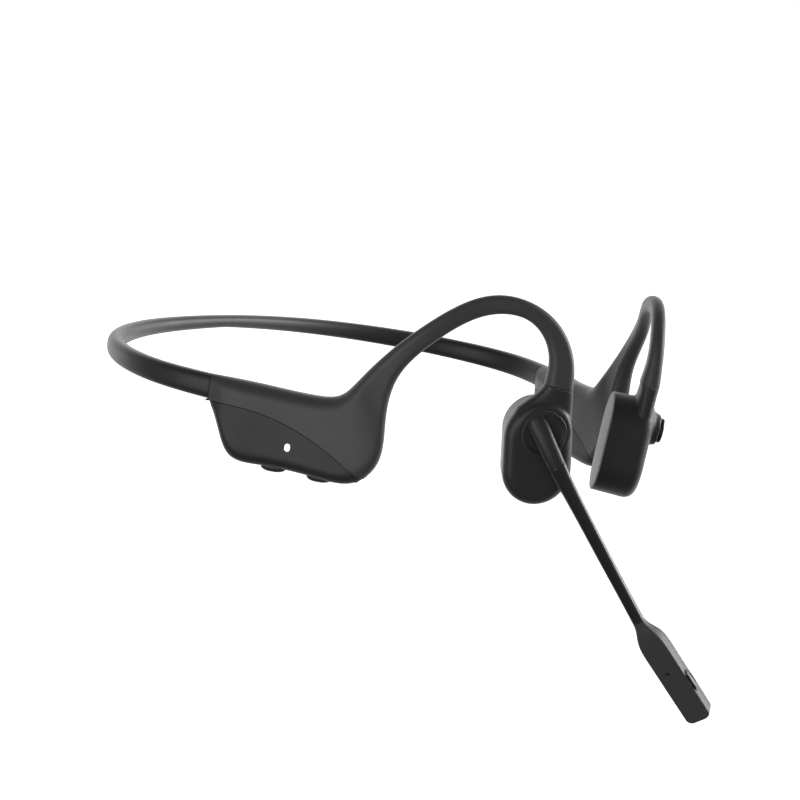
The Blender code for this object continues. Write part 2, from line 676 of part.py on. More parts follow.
def make_mic_head(head, parts, cutters):
    outer = boom_rings(HEAD, head, 0.4)
    shell = loft("mic_head_shell", outer, "cover_black", parts)
    cover = loft("mic_head_cover", outer, "cover_black", parts)
    hollow = loft("mic_head_hollow", boom_rings(HEAD_HOLLOW, head, 0.4), None, cutters)
    half = GAP / 2
    slab, middle = (60, 12, 6), 18
    boolean(shell, block("mic_split_low", slab, (middle, 0, HEAD_SPLIT + half - 3), head, None, cutters))
    boolean(cover, block("mic_split_high", slab, (middle, 0, HEAD_SPLIT - half + 3), head, None, cutters))
    boolean(shell, hollow)
    boolean(cover, hollow)

    outward = head @ Matrix.Translation(Vector((MIC_HOLE_X, -0.3, 0)) * MM)
    boolean(shell, prism("mic_hole", oval(1.3, 0.6, 3), 0.5, 4, outward, None, cutters))
    block("mic_board", (17.0, 3.6, 0.4), (19.0, -0.3, -0.55), head, "board_green", parts)
    for name, x in (("rear_mic_capsule", MIC_HOLE_X), ("tip_mic_capsule", TIP_MIC_X)):
        seat = head @ Matrix.Translation(Vector((x, -0.4, 0)) * MM)
        turned(name, rod(1.3, -0.2, 0.6), seat, "steel", parts, 16)

    side = head @ Matrix.Translation(Vector((MUTE_X, 3.25, 0.3)) * MM) @ Matrix.Rotation(-math.pi / 2, 4, "X")
    hole = oval(MUTE_LONG + 2 * GAP, MUTE_TALL + 2 * GAP)
    boolean(shell, prism("mute_hole", hole, -2.0, 2, side, None, cutters))
    prism("mute_button", oval(MUTE_LONG, MUTE_TALL), -0.9, MUTE_PROUD, side, "soft_black", parts, 0.3)
    block("mute_switch", (3.0, 0.8, 0.8), (MUTE_X, 1.4, 0.3), head, "polymer_white", parts)


# ---- joints ----

def joint_frame(point, axis):
    """A frame at a world point, its Z along the joint's axis."""
    return Matrix.Translation(point) @ axis.to_track_quat("Z", "Y").to_matrix().to_4x4()


def hang(name, frame, pieces, group):
    """An empty on a joint's axis, with the pieces that move there as its children."""
    empty = bpy.data.objects.new(name, None)
    empty.empty_display_size = 4 * MM
    group.objects.link(empty)
    empty.matrix_world = frame
    bpy.context.view_layer.update()
    for piece in pieces:
        piece.parent = empty
        piece.matrix_parent_inverse = frame.inverted()
    return empty


def axes_of(frame):
    return [frame.to_3x3().col[i].normalized() for i in range(3)]


def make_joints(parts, units):
    """Hangs each moving piece on its joint, and the arms' joints carry those on them."""
    boom = boom_frame(units[RIGHT])
    head = head_frame(boom)
    mute_at = head @ (Vector((MUTE_X, 0, 0)) * MM)
    boom_names = (
        "boom_hub", "boom_pivot_pin", "boom_retaining_clip", "boom_stalk", "boom_core_wire", "mic_head_shell",
        "mic_head_cover", "mic_board", "rear_mic_capsule", "tip_mic_capsule", "mute_switch",
    )
    objects = parts.objects
    mute = hang("mute_press", joint_frame(mute_at, -axes_of(head)[1]), [objects["mute_button"]], parts)
    swivel = joint_frame(boom.translation, axes_of(units[RIGHT])[2])
    inner = [hang("boom_swivel", swivel, [objects[name] for name in boom_names] + [mute], parts)]
    for name, (u, v) in VOLUME_BUTTONS.items():
        up = axes_of(frame_at(u, v, 0, RIGHT))[1]
        press_frame = joint_frame(place(u, v, 0, RIGHT), up)
        inner.append(hang(f"{name}_press", press_frame, [objects[f"{name}_button"]], parts))
    call = units[LEFT] @ (Vector((DISC_A, DISC_B, UNIT_FACE)) * MM)
    press_frame = joint_frame(call, -axes_of(units[LEFT])[2])
    press = hang("multifunction_press", press_frame, [objects["multifunction_button"]], parts)
    fixed = {"neckband_back_sleeve", "memory_wire_back"}
    left_names = {"battery_cell", "battery_board", "multifunction_switch"}
    loose = [
        item for item in objects
        if item.type != "EMPTY" and item.parent is None and item.name not in fixed
    ]
    left = [item for item in loose if item.name.startswith("left_") or item.name in left_names]
    right = [item for item in loose if item not in left]
    for side_name, pieces in (("right", right + inner), ("left", left + [press])):
        side = SIDES[side_name]
        pivot = place(HINGE_U, band_height(HINGE_U), HINGE_OUT, side)
        hang(f"{side_name}_arm_flex", joint_frame(pivot, Vector((0, 0, side))), pieces, parts)


def main():
    clear_scene()
    parts = new_collection("bone_conduction_headset")
    cutters = new_collection("cutters", hidden=True)
    make_band(parts)
    units, shells, covers = {}, {}, {}
    for side_name, side in SIDES.items():
        _, covers[side], bore = make_arm(side_name, side, parts, cutters)
        shells[side], units[side] = make_transducer(side_name, side, parts, cutters, bore)
    make_volume_controls(covers[RIGHT], parts, cutters)
    make_right_pod(covers[RIGHT], parts, cutters)
    make_left_pod(parts)
    make_call_button(shells[LEFT], units[LEFT], parts, cutters)
    make_hub(shells[RIGHT], units[RIGHT], parts, cutters)
    boom = boom_frame(units[RIGHT])
    make_stalk(boom, parts)
    make_mic_head(head_frame(boom), parts, cutters)
    make_joints(parts, units)


main()
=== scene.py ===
"""Bone conduction headset with a boom microphone: the visible shells, skins and finishes.

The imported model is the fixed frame. Its axes are +X to the wearer's left, -Y to the front and +Z up, and
its origin lies between the tops of the ear hooks. Tables are in millimetres, meshes in metres.
"""

import json
import math

import bmesh
import bpy
import numpy as np
from bpy.props import FloatProperty, FloatVectorProperty, IntProperty, PointerProperty
from mathutils import Matrix, Vector

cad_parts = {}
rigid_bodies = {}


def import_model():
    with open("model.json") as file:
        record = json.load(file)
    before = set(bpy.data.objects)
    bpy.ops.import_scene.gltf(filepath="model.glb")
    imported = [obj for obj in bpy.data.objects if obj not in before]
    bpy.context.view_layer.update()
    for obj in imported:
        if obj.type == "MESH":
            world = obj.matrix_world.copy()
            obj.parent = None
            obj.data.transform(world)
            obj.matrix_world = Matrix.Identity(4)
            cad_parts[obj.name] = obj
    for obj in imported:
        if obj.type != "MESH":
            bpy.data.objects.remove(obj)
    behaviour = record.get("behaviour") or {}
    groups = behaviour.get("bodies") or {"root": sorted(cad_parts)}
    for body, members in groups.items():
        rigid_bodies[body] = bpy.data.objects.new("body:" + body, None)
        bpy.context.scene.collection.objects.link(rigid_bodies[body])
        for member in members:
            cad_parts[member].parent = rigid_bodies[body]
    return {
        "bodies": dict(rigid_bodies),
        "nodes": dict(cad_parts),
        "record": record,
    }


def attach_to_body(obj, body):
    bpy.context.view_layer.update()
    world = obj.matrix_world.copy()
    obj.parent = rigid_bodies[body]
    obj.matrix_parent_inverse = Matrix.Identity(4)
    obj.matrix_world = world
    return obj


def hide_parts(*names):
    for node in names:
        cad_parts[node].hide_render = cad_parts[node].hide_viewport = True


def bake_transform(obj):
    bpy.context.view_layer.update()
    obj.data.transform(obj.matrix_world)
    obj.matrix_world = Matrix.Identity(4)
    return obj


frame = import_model()

bl_info = {
    "name": "Bone conduction headset",
    "version": (1, 0, 0),
    "blender": (4, 5, 0),
    "location": "3D View > Sidebar > Headset",
    "description": "Builds the shells, pads, band and boom of an open-ear headset",
    "category": "Object",
}

MM = 0.001
LEFT, RIGHT = 1, -1
SIDES = {"right": RIGHT, "left": LEFT}

# Plan of the left arm from the middle of the band round to the front of the transducer.
PLAN_POINTS = [
    (0, 110), (32, 108.2), (57, 98.2), (69.8, 84.6), (74.3, 68), (70.8, 55.5), (62.4, 40.6), (57.2, 29.8),
    (51.6, 18.4), (45.2, 11), (38, 5.8), (31, -0.8), (24.5, -6.3), (18.5, -11), (12, -15.5),
]
HINGE_U = 22.0
BAND_END_U = 107.5
BAND_MID_HEIGHT, BAND_DROP, BAND_DROP_POWER = -23.9, 5.7, 1.4
BAND_TALL_MID, BAND_TALL_END = 3.2, 6.0
BAND_THICK_MID, BAND_THICK_END = 3.2, 4.9
WIRE_RADIUS, WIRE_END_U = 0.55, 111.0

# Matching points of the arm's upper and lower edges as (u, v), then its thickness there.
ARM_EDGES = [
    ((107.7, -26.6), (107.7, -33.0), 5.0),
    ((111.7, -26.7), (110.7, -39.2), 7.2),
    ((116.5, -26.9), (114.4, -45.25), 8.2),
    ((122.5, -27.3), (121.5, -46.35), 8.5),
    ((133.5, -27.8), (136.5, -47.25), 8.5),
    ((138.7, -26.8), (145.2, -46.75), 8.2),
    ((141.7, -23.8), (149.5, -42.3), 7.5),
    ((144.1, -20.5), (150.3, -32.0), 5.6),
    ((147.5, -16.2), (151.7, -20.6), 4.3),
    ((154.6, -8.8), (158.6, -11.5), 3.6),
    ((163.7, -1.9), (166.8, -5.4), 3.3),
    ((173.3, 1.75), (174.3, -2.7), 3.3),
    ((183.1, 0.3), (181.5, -3.6), 3.4),
    ((190.7, -5.5), (186.4, -8.3), 3.5),
    ((194.1, -12.8), (187.9, -13.6), 3.9),
    ((194.9, -19.1), (187.6, -18.1), 4.9),
]
SEAM_START_U, SEAM_V, SEAM_LENGTH, SEAM_FALL, SEAM_POWER = 108.5, -32.8, 38.5, 13.4, 2.2
LEAN_START_V, LEAN_SLOPE, LEAN_EASE = -10.0, 0.105, 6.0
TOP_RADIUS, LOWER_RADIUS, ROUND_SHARE = 3.9, 3.0, 0.47

# The transducer's own frame: a towards the front edge, b up, n away from the head.
UNIT_U, UNIT_V, UNIT_RAKE = 188.2, -33.2, math.radians(7.3)
UNIT_FACE, UNIT_SPLIT, UNIT_PAD = 3.1, -7.7, -8.1
UNIT_WALL, FACE_ROUND = 1.2, 3.0
OUTER_OUTLINE = (-8.9, 8.8, -14.7, 10.9)
INNER_OUTLINE = (-6.3, 9.3, -14.4, 10.5)
SHOULDER_ENDS, SHOULDER_TOP = ((-9.5, 1.5), (1.2, 11.6)), -1.6
DISC_A, DISC_B = 0.9, 3.7
# The neck between hook and body: back edge, front edge, then the middle and half thickness along n.
NECK_ROWS = [
    ((1.9, 16.4), (8.4, 14.8), 0.0, 2.4),
    ((1.3, 14.85), (8.4, 12.95), 0.0, 2.4),
    ((0.3, 13.6), (8.4, 11.4), 0.0, 2.35),
    ((-1.0, 12.4), (8.4, 9.8), 0.0, 2.35),
    ((-2.8, 11.2), (8.4, 8.0), 0.0, 2.4),
    ((-5.0, 9.6), (8.4, 5.0), 0.05, 2.45),
    ((-6.6, 7.0), (8.4, 1.0), 0.1, 2.5),
]
NECK_TOP_ENDS = ((1.28, 14.97), (8.45, 13.05))
PIVOT_FLOOR = 2.1
BUTTON_RADIUS = 3.15

# Boom: x from the hub to the tip, y across it and n away from the head, then half width and half depth.
BOOM_ANGLE = math.radians(-59.8)
BOOM_N, BOOM_TWIST = 5.9, math.radians(28)
ELBOW = [
    (-5.35, -0.2, 2.9, 0.5, 0.3), (-5.2, -0.2, 3.0, 1.0, 0.55), (-4.85, -0.2, 3.15, 1.5, 0.8),
    (-4.2, -0.22, 3.4, 1.92, 1.05), (-3.2, -0.28, 3.7, 2.15, 1.3), (-1.5, -0.4, 4.2, 2.25, 1.55),
    (0.5, -0.6, 4.68, 2.25, 1.78), (2.5, -0.8, 5.1, 2.22, 1.9),
    (5.0, -1.02, 5.6, 2.17, 1.92), (7.48, -1.2, BOOM_N, 2.12, 1.9),
]
STALK = [
    (7.55, -1.2, BOOM_N, 2.12, 1.9), (12, -1.4, BOOM_N, 1.95, 1.8), (20, -1.5, BOOM_N, 1.75, 1.7),
    (34, -1.55, BOOM_N, 1.6, 1.6), (45, -1.53, BOOM_N, 1.5, 1.5), (53.45, -1.5, BOOM_N, 1.5, 1.5),
]
HEAD_ROOT, HEAD_BEND = (53.6, -1.5), math.radians(4.5)
# Along the microphone head: x, half width and half depth up to where its end corners begin.
HEAD = [
    (0, 1.5, 1.5), (1.2, 1.62, 1.58), (2.5, 1.98, 1.76), (4.0, 2.52, 2.0), (5.5, 2.95, 2.17),
    (7.0, 3.17, 2.25), (8.5, 3.25, 2.28), (14, 3.25, 2.28), (20, 3.25, 2.28), (29.4, 3.2, 2.22),
]
HEAD_END, HEAD_CORNER, HEAD_EDGE = 30.8, 1.4, 0.45
HEAD_SPLIT = -1.0
MIC_HOLE_X, MUTE_X = 15.6, 20.2
MUTE_LONG, MUTE_TALL, MUTE_PROUD = 6.1, 2.2, 0.85
VOLUME_BUTTONS = {"volume_up": (125.0, -46.85), "volume_down": (136.3, -47.5)}
VOLUME_LONG, VOLUME_SHORT, VOLUME_PROUD = 6.2, 3.6, 0.8
LIGHT_AT, PORT_AT = (128.4, -40.8), (122.5, -40.5)
POD_FACE = 4.25

# A domed cap: the share of a quarter turn that it covers, and the power that makes its sides steeper.
DOME_SPAN, DOME_POWER = 0.97, 0.8
# An outline that is drawn inwards stops this far from its middle.
LEAST_REACH = 0.05

# A seam's lip: the distance from the seam where it has risen to a share of its depth, then to the surface.
LIP_NEAR, LIP_FAR, LIP_SHARE = 0.05, 0.2, 0.22
LEAST_COVER = 0.3
SEAM_PROBES, PROBE = 400, 0.05
SEAM_END_STEPS = (0.0, 0.004, 0.015, 0.035, 0.06)
# A span to each side of the band's hinge; it is worked out, but nothing bends over it.
BAND_FLEX = 19

# Profiles of (radius, height) about the axis of each transducer's disc.
BUTTON_BOSS = [(0, -2.0), (5.2, -2.0), (5.0, -0.2), (4.4, 0.25), (4.0, 0.9), (3.85, 2.0), (0, 2.0)]
PIVOT_BOSS = [(0, -2.0), (7.4, -2.0), (7.2, -0.6), (6.7, -0.1), (6.3, 0.08), (0, 0.08)]
PIVOT_WELL = [(0, -3), (1.45, -3), (1.45, 0), (5.68, 0), (5.68, 4), (0, 4)]
BOOM_DISC = [
    (0, 0.6), (5.6, 0.6), (5.62, 1.45), (5.58, 1.6), (5.48, 1.7), (5.34, 1.74), (5.18, 1.7), (5.02, 1.58),
    (4.88, 1.42), (4.7, 1.28), (4.4, 1.2), (2.5, 1.14), (0, 1.12),
]
PIN_WELL = [(0, -4), (0.85, -4), (0.85, 1), (0, 1)]
PIN = [(0, -2.0), (0.6, -2.0), (0.6, -0.12), (0.52, -0.03), (0.38, 0.02), (0, 0.05)]


LENGTH = {"unit": "LENGTH"}
COLOUR = {"subtype": "COLOR", "size": 3, "min": 0, "max": 1}


class HeadsetShape(bpy.types.PropertyGroup):
    """Sizes that belong to the finished shells and not to the frame."""

    wall: FloatProperty(
        name="Shell wall", description="Wall of the arm shells and pod covers",
        default=0.0011, min=0.0006, max=0.0014, **LENGTH,
    )
    seam: FloatProperty(
        name="Seam", description="Gap left where two shells meet",
        default=0.0001, min=0.00004, max=0.0004, **LENGTH,
    )
    lip: FloatProperty(
        name="Lip", description="How deep the rounded lips of a seam sink",
        default=0.00006, min=0.0, max=0.0004, **LENGTH,
    )
    blend_voxel: FloatProperty(
        name="Blend voxel", description="Cell size that melts a transducer's body, neck and boss together",
        default=0.00026, min=0.00015, max=0.0006, **LENGTH,
    )
    blend_rounds: IntProperty(
        name="Blend rounds", description="Smoothing rounds that open the fillets",
        default=14, min=0, max=60,
    )
    arm_rows: IntProperty(
        name="Arm rows", description="Sections between two rows of the arm table", default=9, min=2, max=20,
    )


class HeadsetFinish(bpy.types.PropertyGroup):
    """Colours of the finishes, and the grain of the moulded ones."""

    sleeve: FloatVectorProperty(
        name="Sleeve", description="Soft-touch skin of the band and transducers",
        default=(0.016, 0.016, 0.0164), **COLOUR,
    )
    shell: FloatVectorProperty(
        name="Arm shell", description="Moulded grey of the arm shells and microphone head",
        default=(0.05, 0.05, 0.0505), **COLOUR,
    )
    cover: FloatVectorProperty(
        name="Cover", description="Darker pod covers",
        default=(0.0145, 0.0145, 0.0148), **COLOUR,
    )
    pad: FloatVectorProperty(
        name="Pad", description="Silicone that touches the skin",
        default=(0.27, 0.27, 0.272), **COLOUR,
    )
    gloss: FloatVectorProperty(
        name="Gloss black", description="Polished button and port",
        default=(0.006, 0.006, 0.0065), **COLOUR,
    )
    grain: FloatProperty(
        name="Grain", description="Depth of the moulded grain",
        default=0.00002, min=0.0, max=0.0001, **LENGTH,
    )


class HeadsetStudio(bpy.types.PropertyGroup):
    """The stage round the headset."""

    lens: FloatProperty(
        name="Lens", description="Focal length on a 36 mm sensor", default=166.05, min=20, max=400,
    )
    key: FloatProperty(name="Key power", description="Soft key lamp", default=2.3, min=0, max=50)
    rim: FloatProperty(name="Rim power", description="Soft lamps behind", default=3.0, min=0, max=50)


# ---- curves that the arms follow ----

def spline(points, start_slope=None):
    """A cubic curve through the points as a function of its knots, which are the chord lengths."""
    points = np.array(points, float)
    knots = np.concatenate([[0], np.cumsum(np.linalg.norm(np.diff(points, axis=0), axis=1))])
    steps = np.diff(knots)
    rates = np.diff(points, axis=0) / steps[:, None]
    size = len(points)
    system, right_side = np.eye(size), np.zeros_like(points)
    for i in range(1, size - 1):
        system[i, i - 1 : i + 2] = steps[i - 1], 2 * (steps[i - 1] + steps[i]), steps[i]
        right_side[i] = 6 * (rates[i] - rates[i - 1])
    if start_slope is not None:
        system[0, :2] = 2 * steps[0], steps[0]
        right_side[0] = 6 * (rates[0] - np.array(start_slope))
    bends = np.linalg.solve(system, right_side)

    def curve(at):
        i = int(np.clip(np.searchsorted(knots, at) - 1, 0, size - 2))
        h, after, before = steps[i], at - knots[i], knots[i + 1] - at
        ends = (bends[i] * before**3 + bends[i + 1] * after**3) / (6 * h)
        line_start = (points[i] / h - bends[i] * h / 6) * before
        line_end = (points[i + 1] / h - bends[i + 1] * h / 6) * after
        return ends + line_start + line_end

    return curve, knots


plan, _ = spline(PLAN_POINTS, start_slope=(1, 0))
upper_edge, upper_knots = spline([row[0] for row in ARM_EDGES])
lower_edge, lower_knots = spline([row[1] for row in ARM_EDGES])


def lean(v):
    """How far the front leg and the transducer lie inwards at this height."""
    depth = max(0.0, LEAN_START_V - v)
    return LEAN_SLOPE * depth * depth / (depth + LEAN_EASE)


def place(u, v, w, side):
    """The flat pattern's point (u, v, w) bent round the head, in metres."""
    x, y = plan(abs(u))
    tx, ty = plan(abs(u) + 0.1) - plan(abs(u) - 0.1) if abs(u) > 0.1 else (1, 0)
    length = math.hypot(tx, ty)
    if u > 180:
        w -= lean(v)
    turn = side if u >= 0 else -side
    return Vector((turn * (x - w * ty / length), y + w * tx / length, v)) * MM


def frame_at(u, v, w, side):
    """A rigid frame on the flat pattern: X along the arm, Y up and Z away from the head."""
    origin = place(u, v, w, side)
    along = (place(u + 0.5, v, w, side) - place(u - 0.5, v, w, side)).normalized()
    up = (place(u, v + 0.5, w, side) - origin).normalized()
    out = (place(u, v, w + 1, side) - origin).normalized()
    up = (up - along * up.dot(along)).normalized()
    out = along.cross(up) * (1 if along.cross(up).dot(out) > 0 else -1)
    return Matrix.Translation(origin) @ Matrix((along, up, out)).transposed().to_4x4()


def unit_frame(side):
    """The transducer's frame: X towards its front edge, Y up and Z away from the head."""
    return turned(frame_at(UNIT_U, UNIT_V, 0, side), UNIT_RAKE)


def shifted(base, x, y, z):
    return base @ Matrix.Translation(Vector((x, y, z)) * MM)


def spot(base, x, y, z):
    """A point of a frame, given in millimetres."""
    return base @ (Vector((x, y, z)) * MM)


def turned(base, angle, axis="Z"):
    return base @ Matrix.Rotation(angle, 4, axis)


def disc_frame(side, n):
    """On the axis of the transducer's disc, at a distance n from the wire plane."""
    return shifted(unit_frame(side), DISC_A, DISC_B, n)


def boom_frame():
    """Along the boom: X from the hub to the tip, Y to its front side and Z away from the head."""
    return turned(disc_frame(RIGHT, 0), BOOM_ANGLE)


def line_frame(base, ends):
    """At the back end of a line in the transducer's face, X along the line."""
    (a0, b0), (a1, b1) = ends
    return turned(shifted(base, a0, b0, 0), math.atan2(b1 - b0, a1 - a0))


def head_frame():
    """The microphone head's frame: X to the tip, Y to the mute button and Z to the outer face."""
    return turned(turned(shifted(boom_frame(), *HEAD_ROOT, BOOM_N), HEAD_BEND), BOOM_TWIST, "X")


def band_height(u):
    return BAND_MID_HEIGHT - BAND_DROP * (abs(u) / BAND_END_U) ** BAND_DROP_POWER


def seam_height(u):
    """The edge between the pod's shell and its cover."""
    share = max(0.0, (u - SEAM_START_U) / SEAM_LENGTH)
    return SEAM_V - SEAM_FALL * share**SEAM_POWER


# ---- flat outlines ----

def superellipse(half_p, half_q, power, count):
    """A soft rectangle as (p, q) pairs."""
    ring = []
    for i in range(count):
        angle = 2 * math.pi * i / count
        c, s = math.cos(angle), math.sin(angle)
        p, q = (math.copysign(abs(x) ** (2 / power), x) for x in (c, s))
        ring.append((half_p * p, half_q * q))
    return ring


def rounded_ring(half_p, half_q, radius, steps=6):
    """A rectangle with round corners as (p, q) pairs, anticlockwise from the +p side."""
    radius = min(radius, half_p * 0.98, half_q * 0.98)
    ring = []
    for quarter, (sign_p, sign_q) in enumerate(((1, 1), (-1, 1), (-1, -1), (1, -1))):
        for step in range(steps + 1):
            angle = math.pi / 2 * (quarter + step / steps)
            ring.append((
                sign_p * (half_p - radius) + radius * math.cos(angle),
                sign_q * (half_q - radius) + radius * math.sin(angle),
            ))
    return ring


def oval(long_side, short_side, steps=12):
    """A flat oval with half-round ends, long along X."""
    radius, reach = short_side / 2, (long_side - short_side) / 2
    ring = []
    for end in (1, -1):
        for step in range(steps + 1):
            angle = -math.pi / 2 + math.pi * step / steps
            ring.append((end * (reach + radius * math.cos(angle)), end * radius * math.sin(angle)))
    return ring


def stadium(outline, grow=0.0, steps=30):
    """A box (left, right, bottom, top) with half-round ends as (a, b) pairs."""
    left, right, bottom, top = outline
    half, middle = (right - left) / 2, (left + right) / 2
    radius = half + grow
    ring = []
    for start, centre in ((0, top - half), (math.pi, bottom + half)):
        for step in range(steps + 1):
            angle = start + math.pi * step / steps
            ring.append((middle + radius * math.cos(angle), centre + radius * math.sin(angle)))
    return ring


def outline_at(n):
    """The transducer's outline at a distance n from its wire plane, between pad and outer face."""
    share = (n - UNIT_PAD) / (UNIT_FACE - UNIT_PAD)
    return tuple(low + (high - low) * share for low, high in zip(INNER_OUTLINE, OUTER_OUTLINE))


def levels_to_rings(levels, base):
    """Rings of the transducer at (n, grow) levels, in metres."""
    return [[spot(base, a, b, n) for a, b in stadium(outline_at(n), grow)] for n, grow in levels]


def quarter_round(radius, count):
    """(inset, depth) pairs along a rounded rim, from its side to its top."""
    angles = [math.pi / 2 * i / count for i in range(count + 1)]
    return [(radius * (1 - math.cos(angle)), radius * (1 - math.sin(angle))) for angle in angles]


# ---- mesh makers ----

def draw_out(rings, cyclic=True, caps=(True, True)):
    """A bmesh whose first ring is extruded onto each ring that follows."""
    builder = bmesh.new()
    row = [builder.verts.new(point) for point in rings[0]]
    wrap = row[:1] if cyclic else []
    edges = [builder.edges.new(pair) for pair in zip(row, row[1:] + wrap)]
    if caps[0]:
        bmesh.ops.contextual_create(builder, geom=edges)
    for ring in rings[1:]:
        grown = bmesh.ops.extrude_edge_only(builder, edges=edges)["geom"]
        fresh = {item for item in grown if isinstance(item, bmesh.types.BMVert)}
        row = [next(e.other_vert(v) for e in v.link_edges if e.other_vert(v) in fresh) for v in row]
        for vert, point in zip(row, ring):
            vert.co = point
        wrap = row[:1] if cyclic else []
        edges = [builder.edges.get(pair) for pair in zip(row, row[1:] + wrap)]
    if caps[1]:
        bmesh.ops.contextual_create(builder, geom=edges)
    return builder


def extruded(outline, low, high, base, edge=0.0):
    """A flat outline in a frame's XY plane, thick from low to high, its upper rim rounded by edge."""
    rings = [[spot(base, x, y, low) for x, y in outline]]
    centre = Vector(np.mean(outline, axis=0))
    for inset, depth in quarter_round(edge, 5) if edge else [(0, 0)]:
        ring = []
        for point in outline:
            offset = Vector(point) - centre
            x, y = centre + offset * (1 - inset / max(offset.length, inset + LEAST_REACH))
            ring.append(spot(base, x, y, high - depth))
        rings.append(ring)
    return draw_out(rings)


def domed(outline, low, rim, crown, base, steps=10):
    """A button cap: straight walls from low to rim, then a dome up to the crown."""
    centre = Vector(np.mean(outline, axis=0))
    rings = [[spot(base, x, y, low) for x, y in outline]]
    for step in range(steps + 1):
        angle = math.pi / 2 * step / steps * DOME_SPAN
        share, height = math.cos(angle) ** DOME_POWER, rim + (crown - rim) * math.sin(angle)
        ring = []
        for point in outline:
            x, y = centre + (Vector(point) - centre) * share
            ring.append(spot(base, x, y, height))
        rings.append(ring)
    return draw_out(rings)


def bowed(outline, low, crown, base, rim=0.18, flats=(0.5, 0.8)):
    """A button cap that is flat across inside its rounded rim, and bows up along its length."""
    reach = max(x for x, _ in outline)
    rings = [[spot(base, x, y, low) for x, y in outline]]
    for inset, depth in [*quarter_round(rim, 4), *((inset, 0.0) for inset in flats)]:
        ring = []
        for point in outline:
            flat = Vector(point)
            x, y = flat * (1 - inset / flat.length)
            ring.append(spot(base, x, y, crown * (1 - (x / reach) ** 2) - depth))
        rings.append(ring)
    return draw_out(rings)


def spun(profile, base, sides=72):
    """A closed profile of (radius, height) pairs spun about the frame's Z axis."""
    builder = bmesh.new()
    ring = [builder.verts.new((radius, 0, height)) for radius, height in profile]
    edges = [builder.edges.new(pair) for pair in zip(ring, ring[1:] + ring[:1])]
    bmesh.ops.spin(
        builder, geom=ring + edges, axis=(0, 0, 1), angle=2 * math.pi, steps=sides, use_merge=True,
    )
    bmesh.ops.remove_doubles(builder, verts=builder.verts, dist=1e-5)
    bmesh.ops.transform(builder, matrix=base @ Matrix.Scale(MM, 4), verts=builder.verts)
    return builder


def slab(size, centre, base):
    builder = bmesh.new()
    bmesh.ops.create_cube(builder, size=1)
    bmesh.ops.scale(builder, vec=size, verts=builder.verts)
    bmesh.ops.translate(builder, vec=centre, verts=builder.verts)
    bmesh.ops.transform(builder, matrix=base @ Matrix.Scale(MM, 4), verts=builder.verts)
    return builder


def piece(name, builder, look=None, weld=2e-6, sharp=38, outward=None):
    """An object from a bmesh: doubles merged, faces outwards, smooth but for its sharp edges.

    An open skin needs outward, the direction in which its farthest face has to look.
    """
    bmesh.ops.remove_doubles(builder, verts=builder.verts, dist=weld)
    bmesh.ops.dissolve_degenerate(builder, dist=weld, edges=builder.edges)
    bmesh.ops.recalc_face_normals(builder, faces=builder.faces)
    if outward:
        builder.normal_update()
        farthest = max(builder.faces, key=lambda face: face.calc_center_median().dot(outward))
        if farthest.normal.dot(outward) < 0:
            bmesh.ops.reverse_faces(builder, faces=builder.faces)
    mesh = bpy.data.meshes.new(name)
    builder.to_mesh(mesh)
    builder.free()
    mesh.shade_smooth()
    mesh.set_sharp_from_angle(angle=math.radians(sharp))
    made = bpy.data.objects.new(name, mesh)
    bpy.context.scene.collection.objects.link(made)
    if look:
        mesh.materials.append(look)
    return made


def modified(made, kind, **settings):
    """Adds a modifier and applies it to the mesh at once."""
    modifier = made.modifiers.new(kind.title(), kind)
    for key, value in settings.items():
        setattr(modifier, key, value)
    bpy.context.view_layer.update()
    graph = bpy.context.evaluated_depsgraph_get()
    mesh = bpy.data.meshes.new_from_object(made.evaluated_get(graph))
    made.modifiers.clear()
    old, made.data = made.data, mesh
    bpy.data.meshes.remove(old)
    return made


def carved(made, builder, operation="DIFFERENCE"):
    """Cuts a tool out of a piece, or joins or keeps it, and throws the tool away."""
    tool = piece("tool", builder)
    modified(made, "BOOLEAN", operation=operation, object=tool, solver="EXACT")
    bpy.data.objects.remove(tool, do_unlink=True)
    return made


def melted(name, builders, voxel, rounds):
    """One closed skin over several solids, with fillets opened by smoothing."""
    whole = bmesh.new()
    for builder in builders:
        bmesh.ops.recalc_face_normals(builder, faces=builder.faces)
        part = bpy.data.meshes.new("part")
        builder.to_mesh(part)
        builder.free()
        whole.from_mesh(part)
        bpy.data.meshes.remove(part)
    made = piece(name, whole, weld=1e-8)
    modified(made, "REMESH", mode="VOXEL", voxel_size=voxel, adaptivity=0.0, use_smooth_shade=True)
    modified(made, "SMOOTH", factor=0.5, iterations=rounds)
    return made


def settle(made, look, sharp=38):
    """Last touches on a piece made through modifiers: its finish and its shading."""
    made.data.materials.clear()
    made.data.materials.append(look)
    made.data.shade_smooth()
    made.data.set_sharp_from_angle(angle=math.radians(sharp))
    return made


def skin(name, rings, side, wall):
    """A skin through open rings, thickened inwards from its outer face."""
    made = piece(name, draw_out(rings, False, (False, False)), outward=Vector((side, 0, 0)))
    return modified(made, "SOLIDIFY", thickness=wall, offset=-1)


def attach(made, body, slot, *nodes):
    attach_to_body(made, body)
    if nodes:
        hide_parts(*nodes)


# ---- materials ----

class Signal:
    """One output socket of a node tree. Arithmetic on it adds Math nodes."""

    def __init__(self, tree, socket):
        self.tree, self.socket = tree, socket

    def _math(self, operation, first, second):
        node = self.tree.nodes.new("ShaderNodeMath")
        node.operation = operation
        for slot, value in zip(node.inputs, (first, second)):
            if isinstance(value, Signal):
                self.tree.links.new(value.socket, slot)
            else:
                slot.default_value = value
        return Signal(self.tree, node.outputs[0])

    def __add__(self, other):
        return self._math("ADD", self, other)

    __radd__ = __add__

    def __sub__(self, other):
        return self._math("SUBTRACT", self, other)

    def __rsub__(self, other):
        return self._math("SUBTRACT", other, self)

    def __mul__(self, other):
        return self._math("MULTIPLY", self, other)

    __rmul__ = __mul__


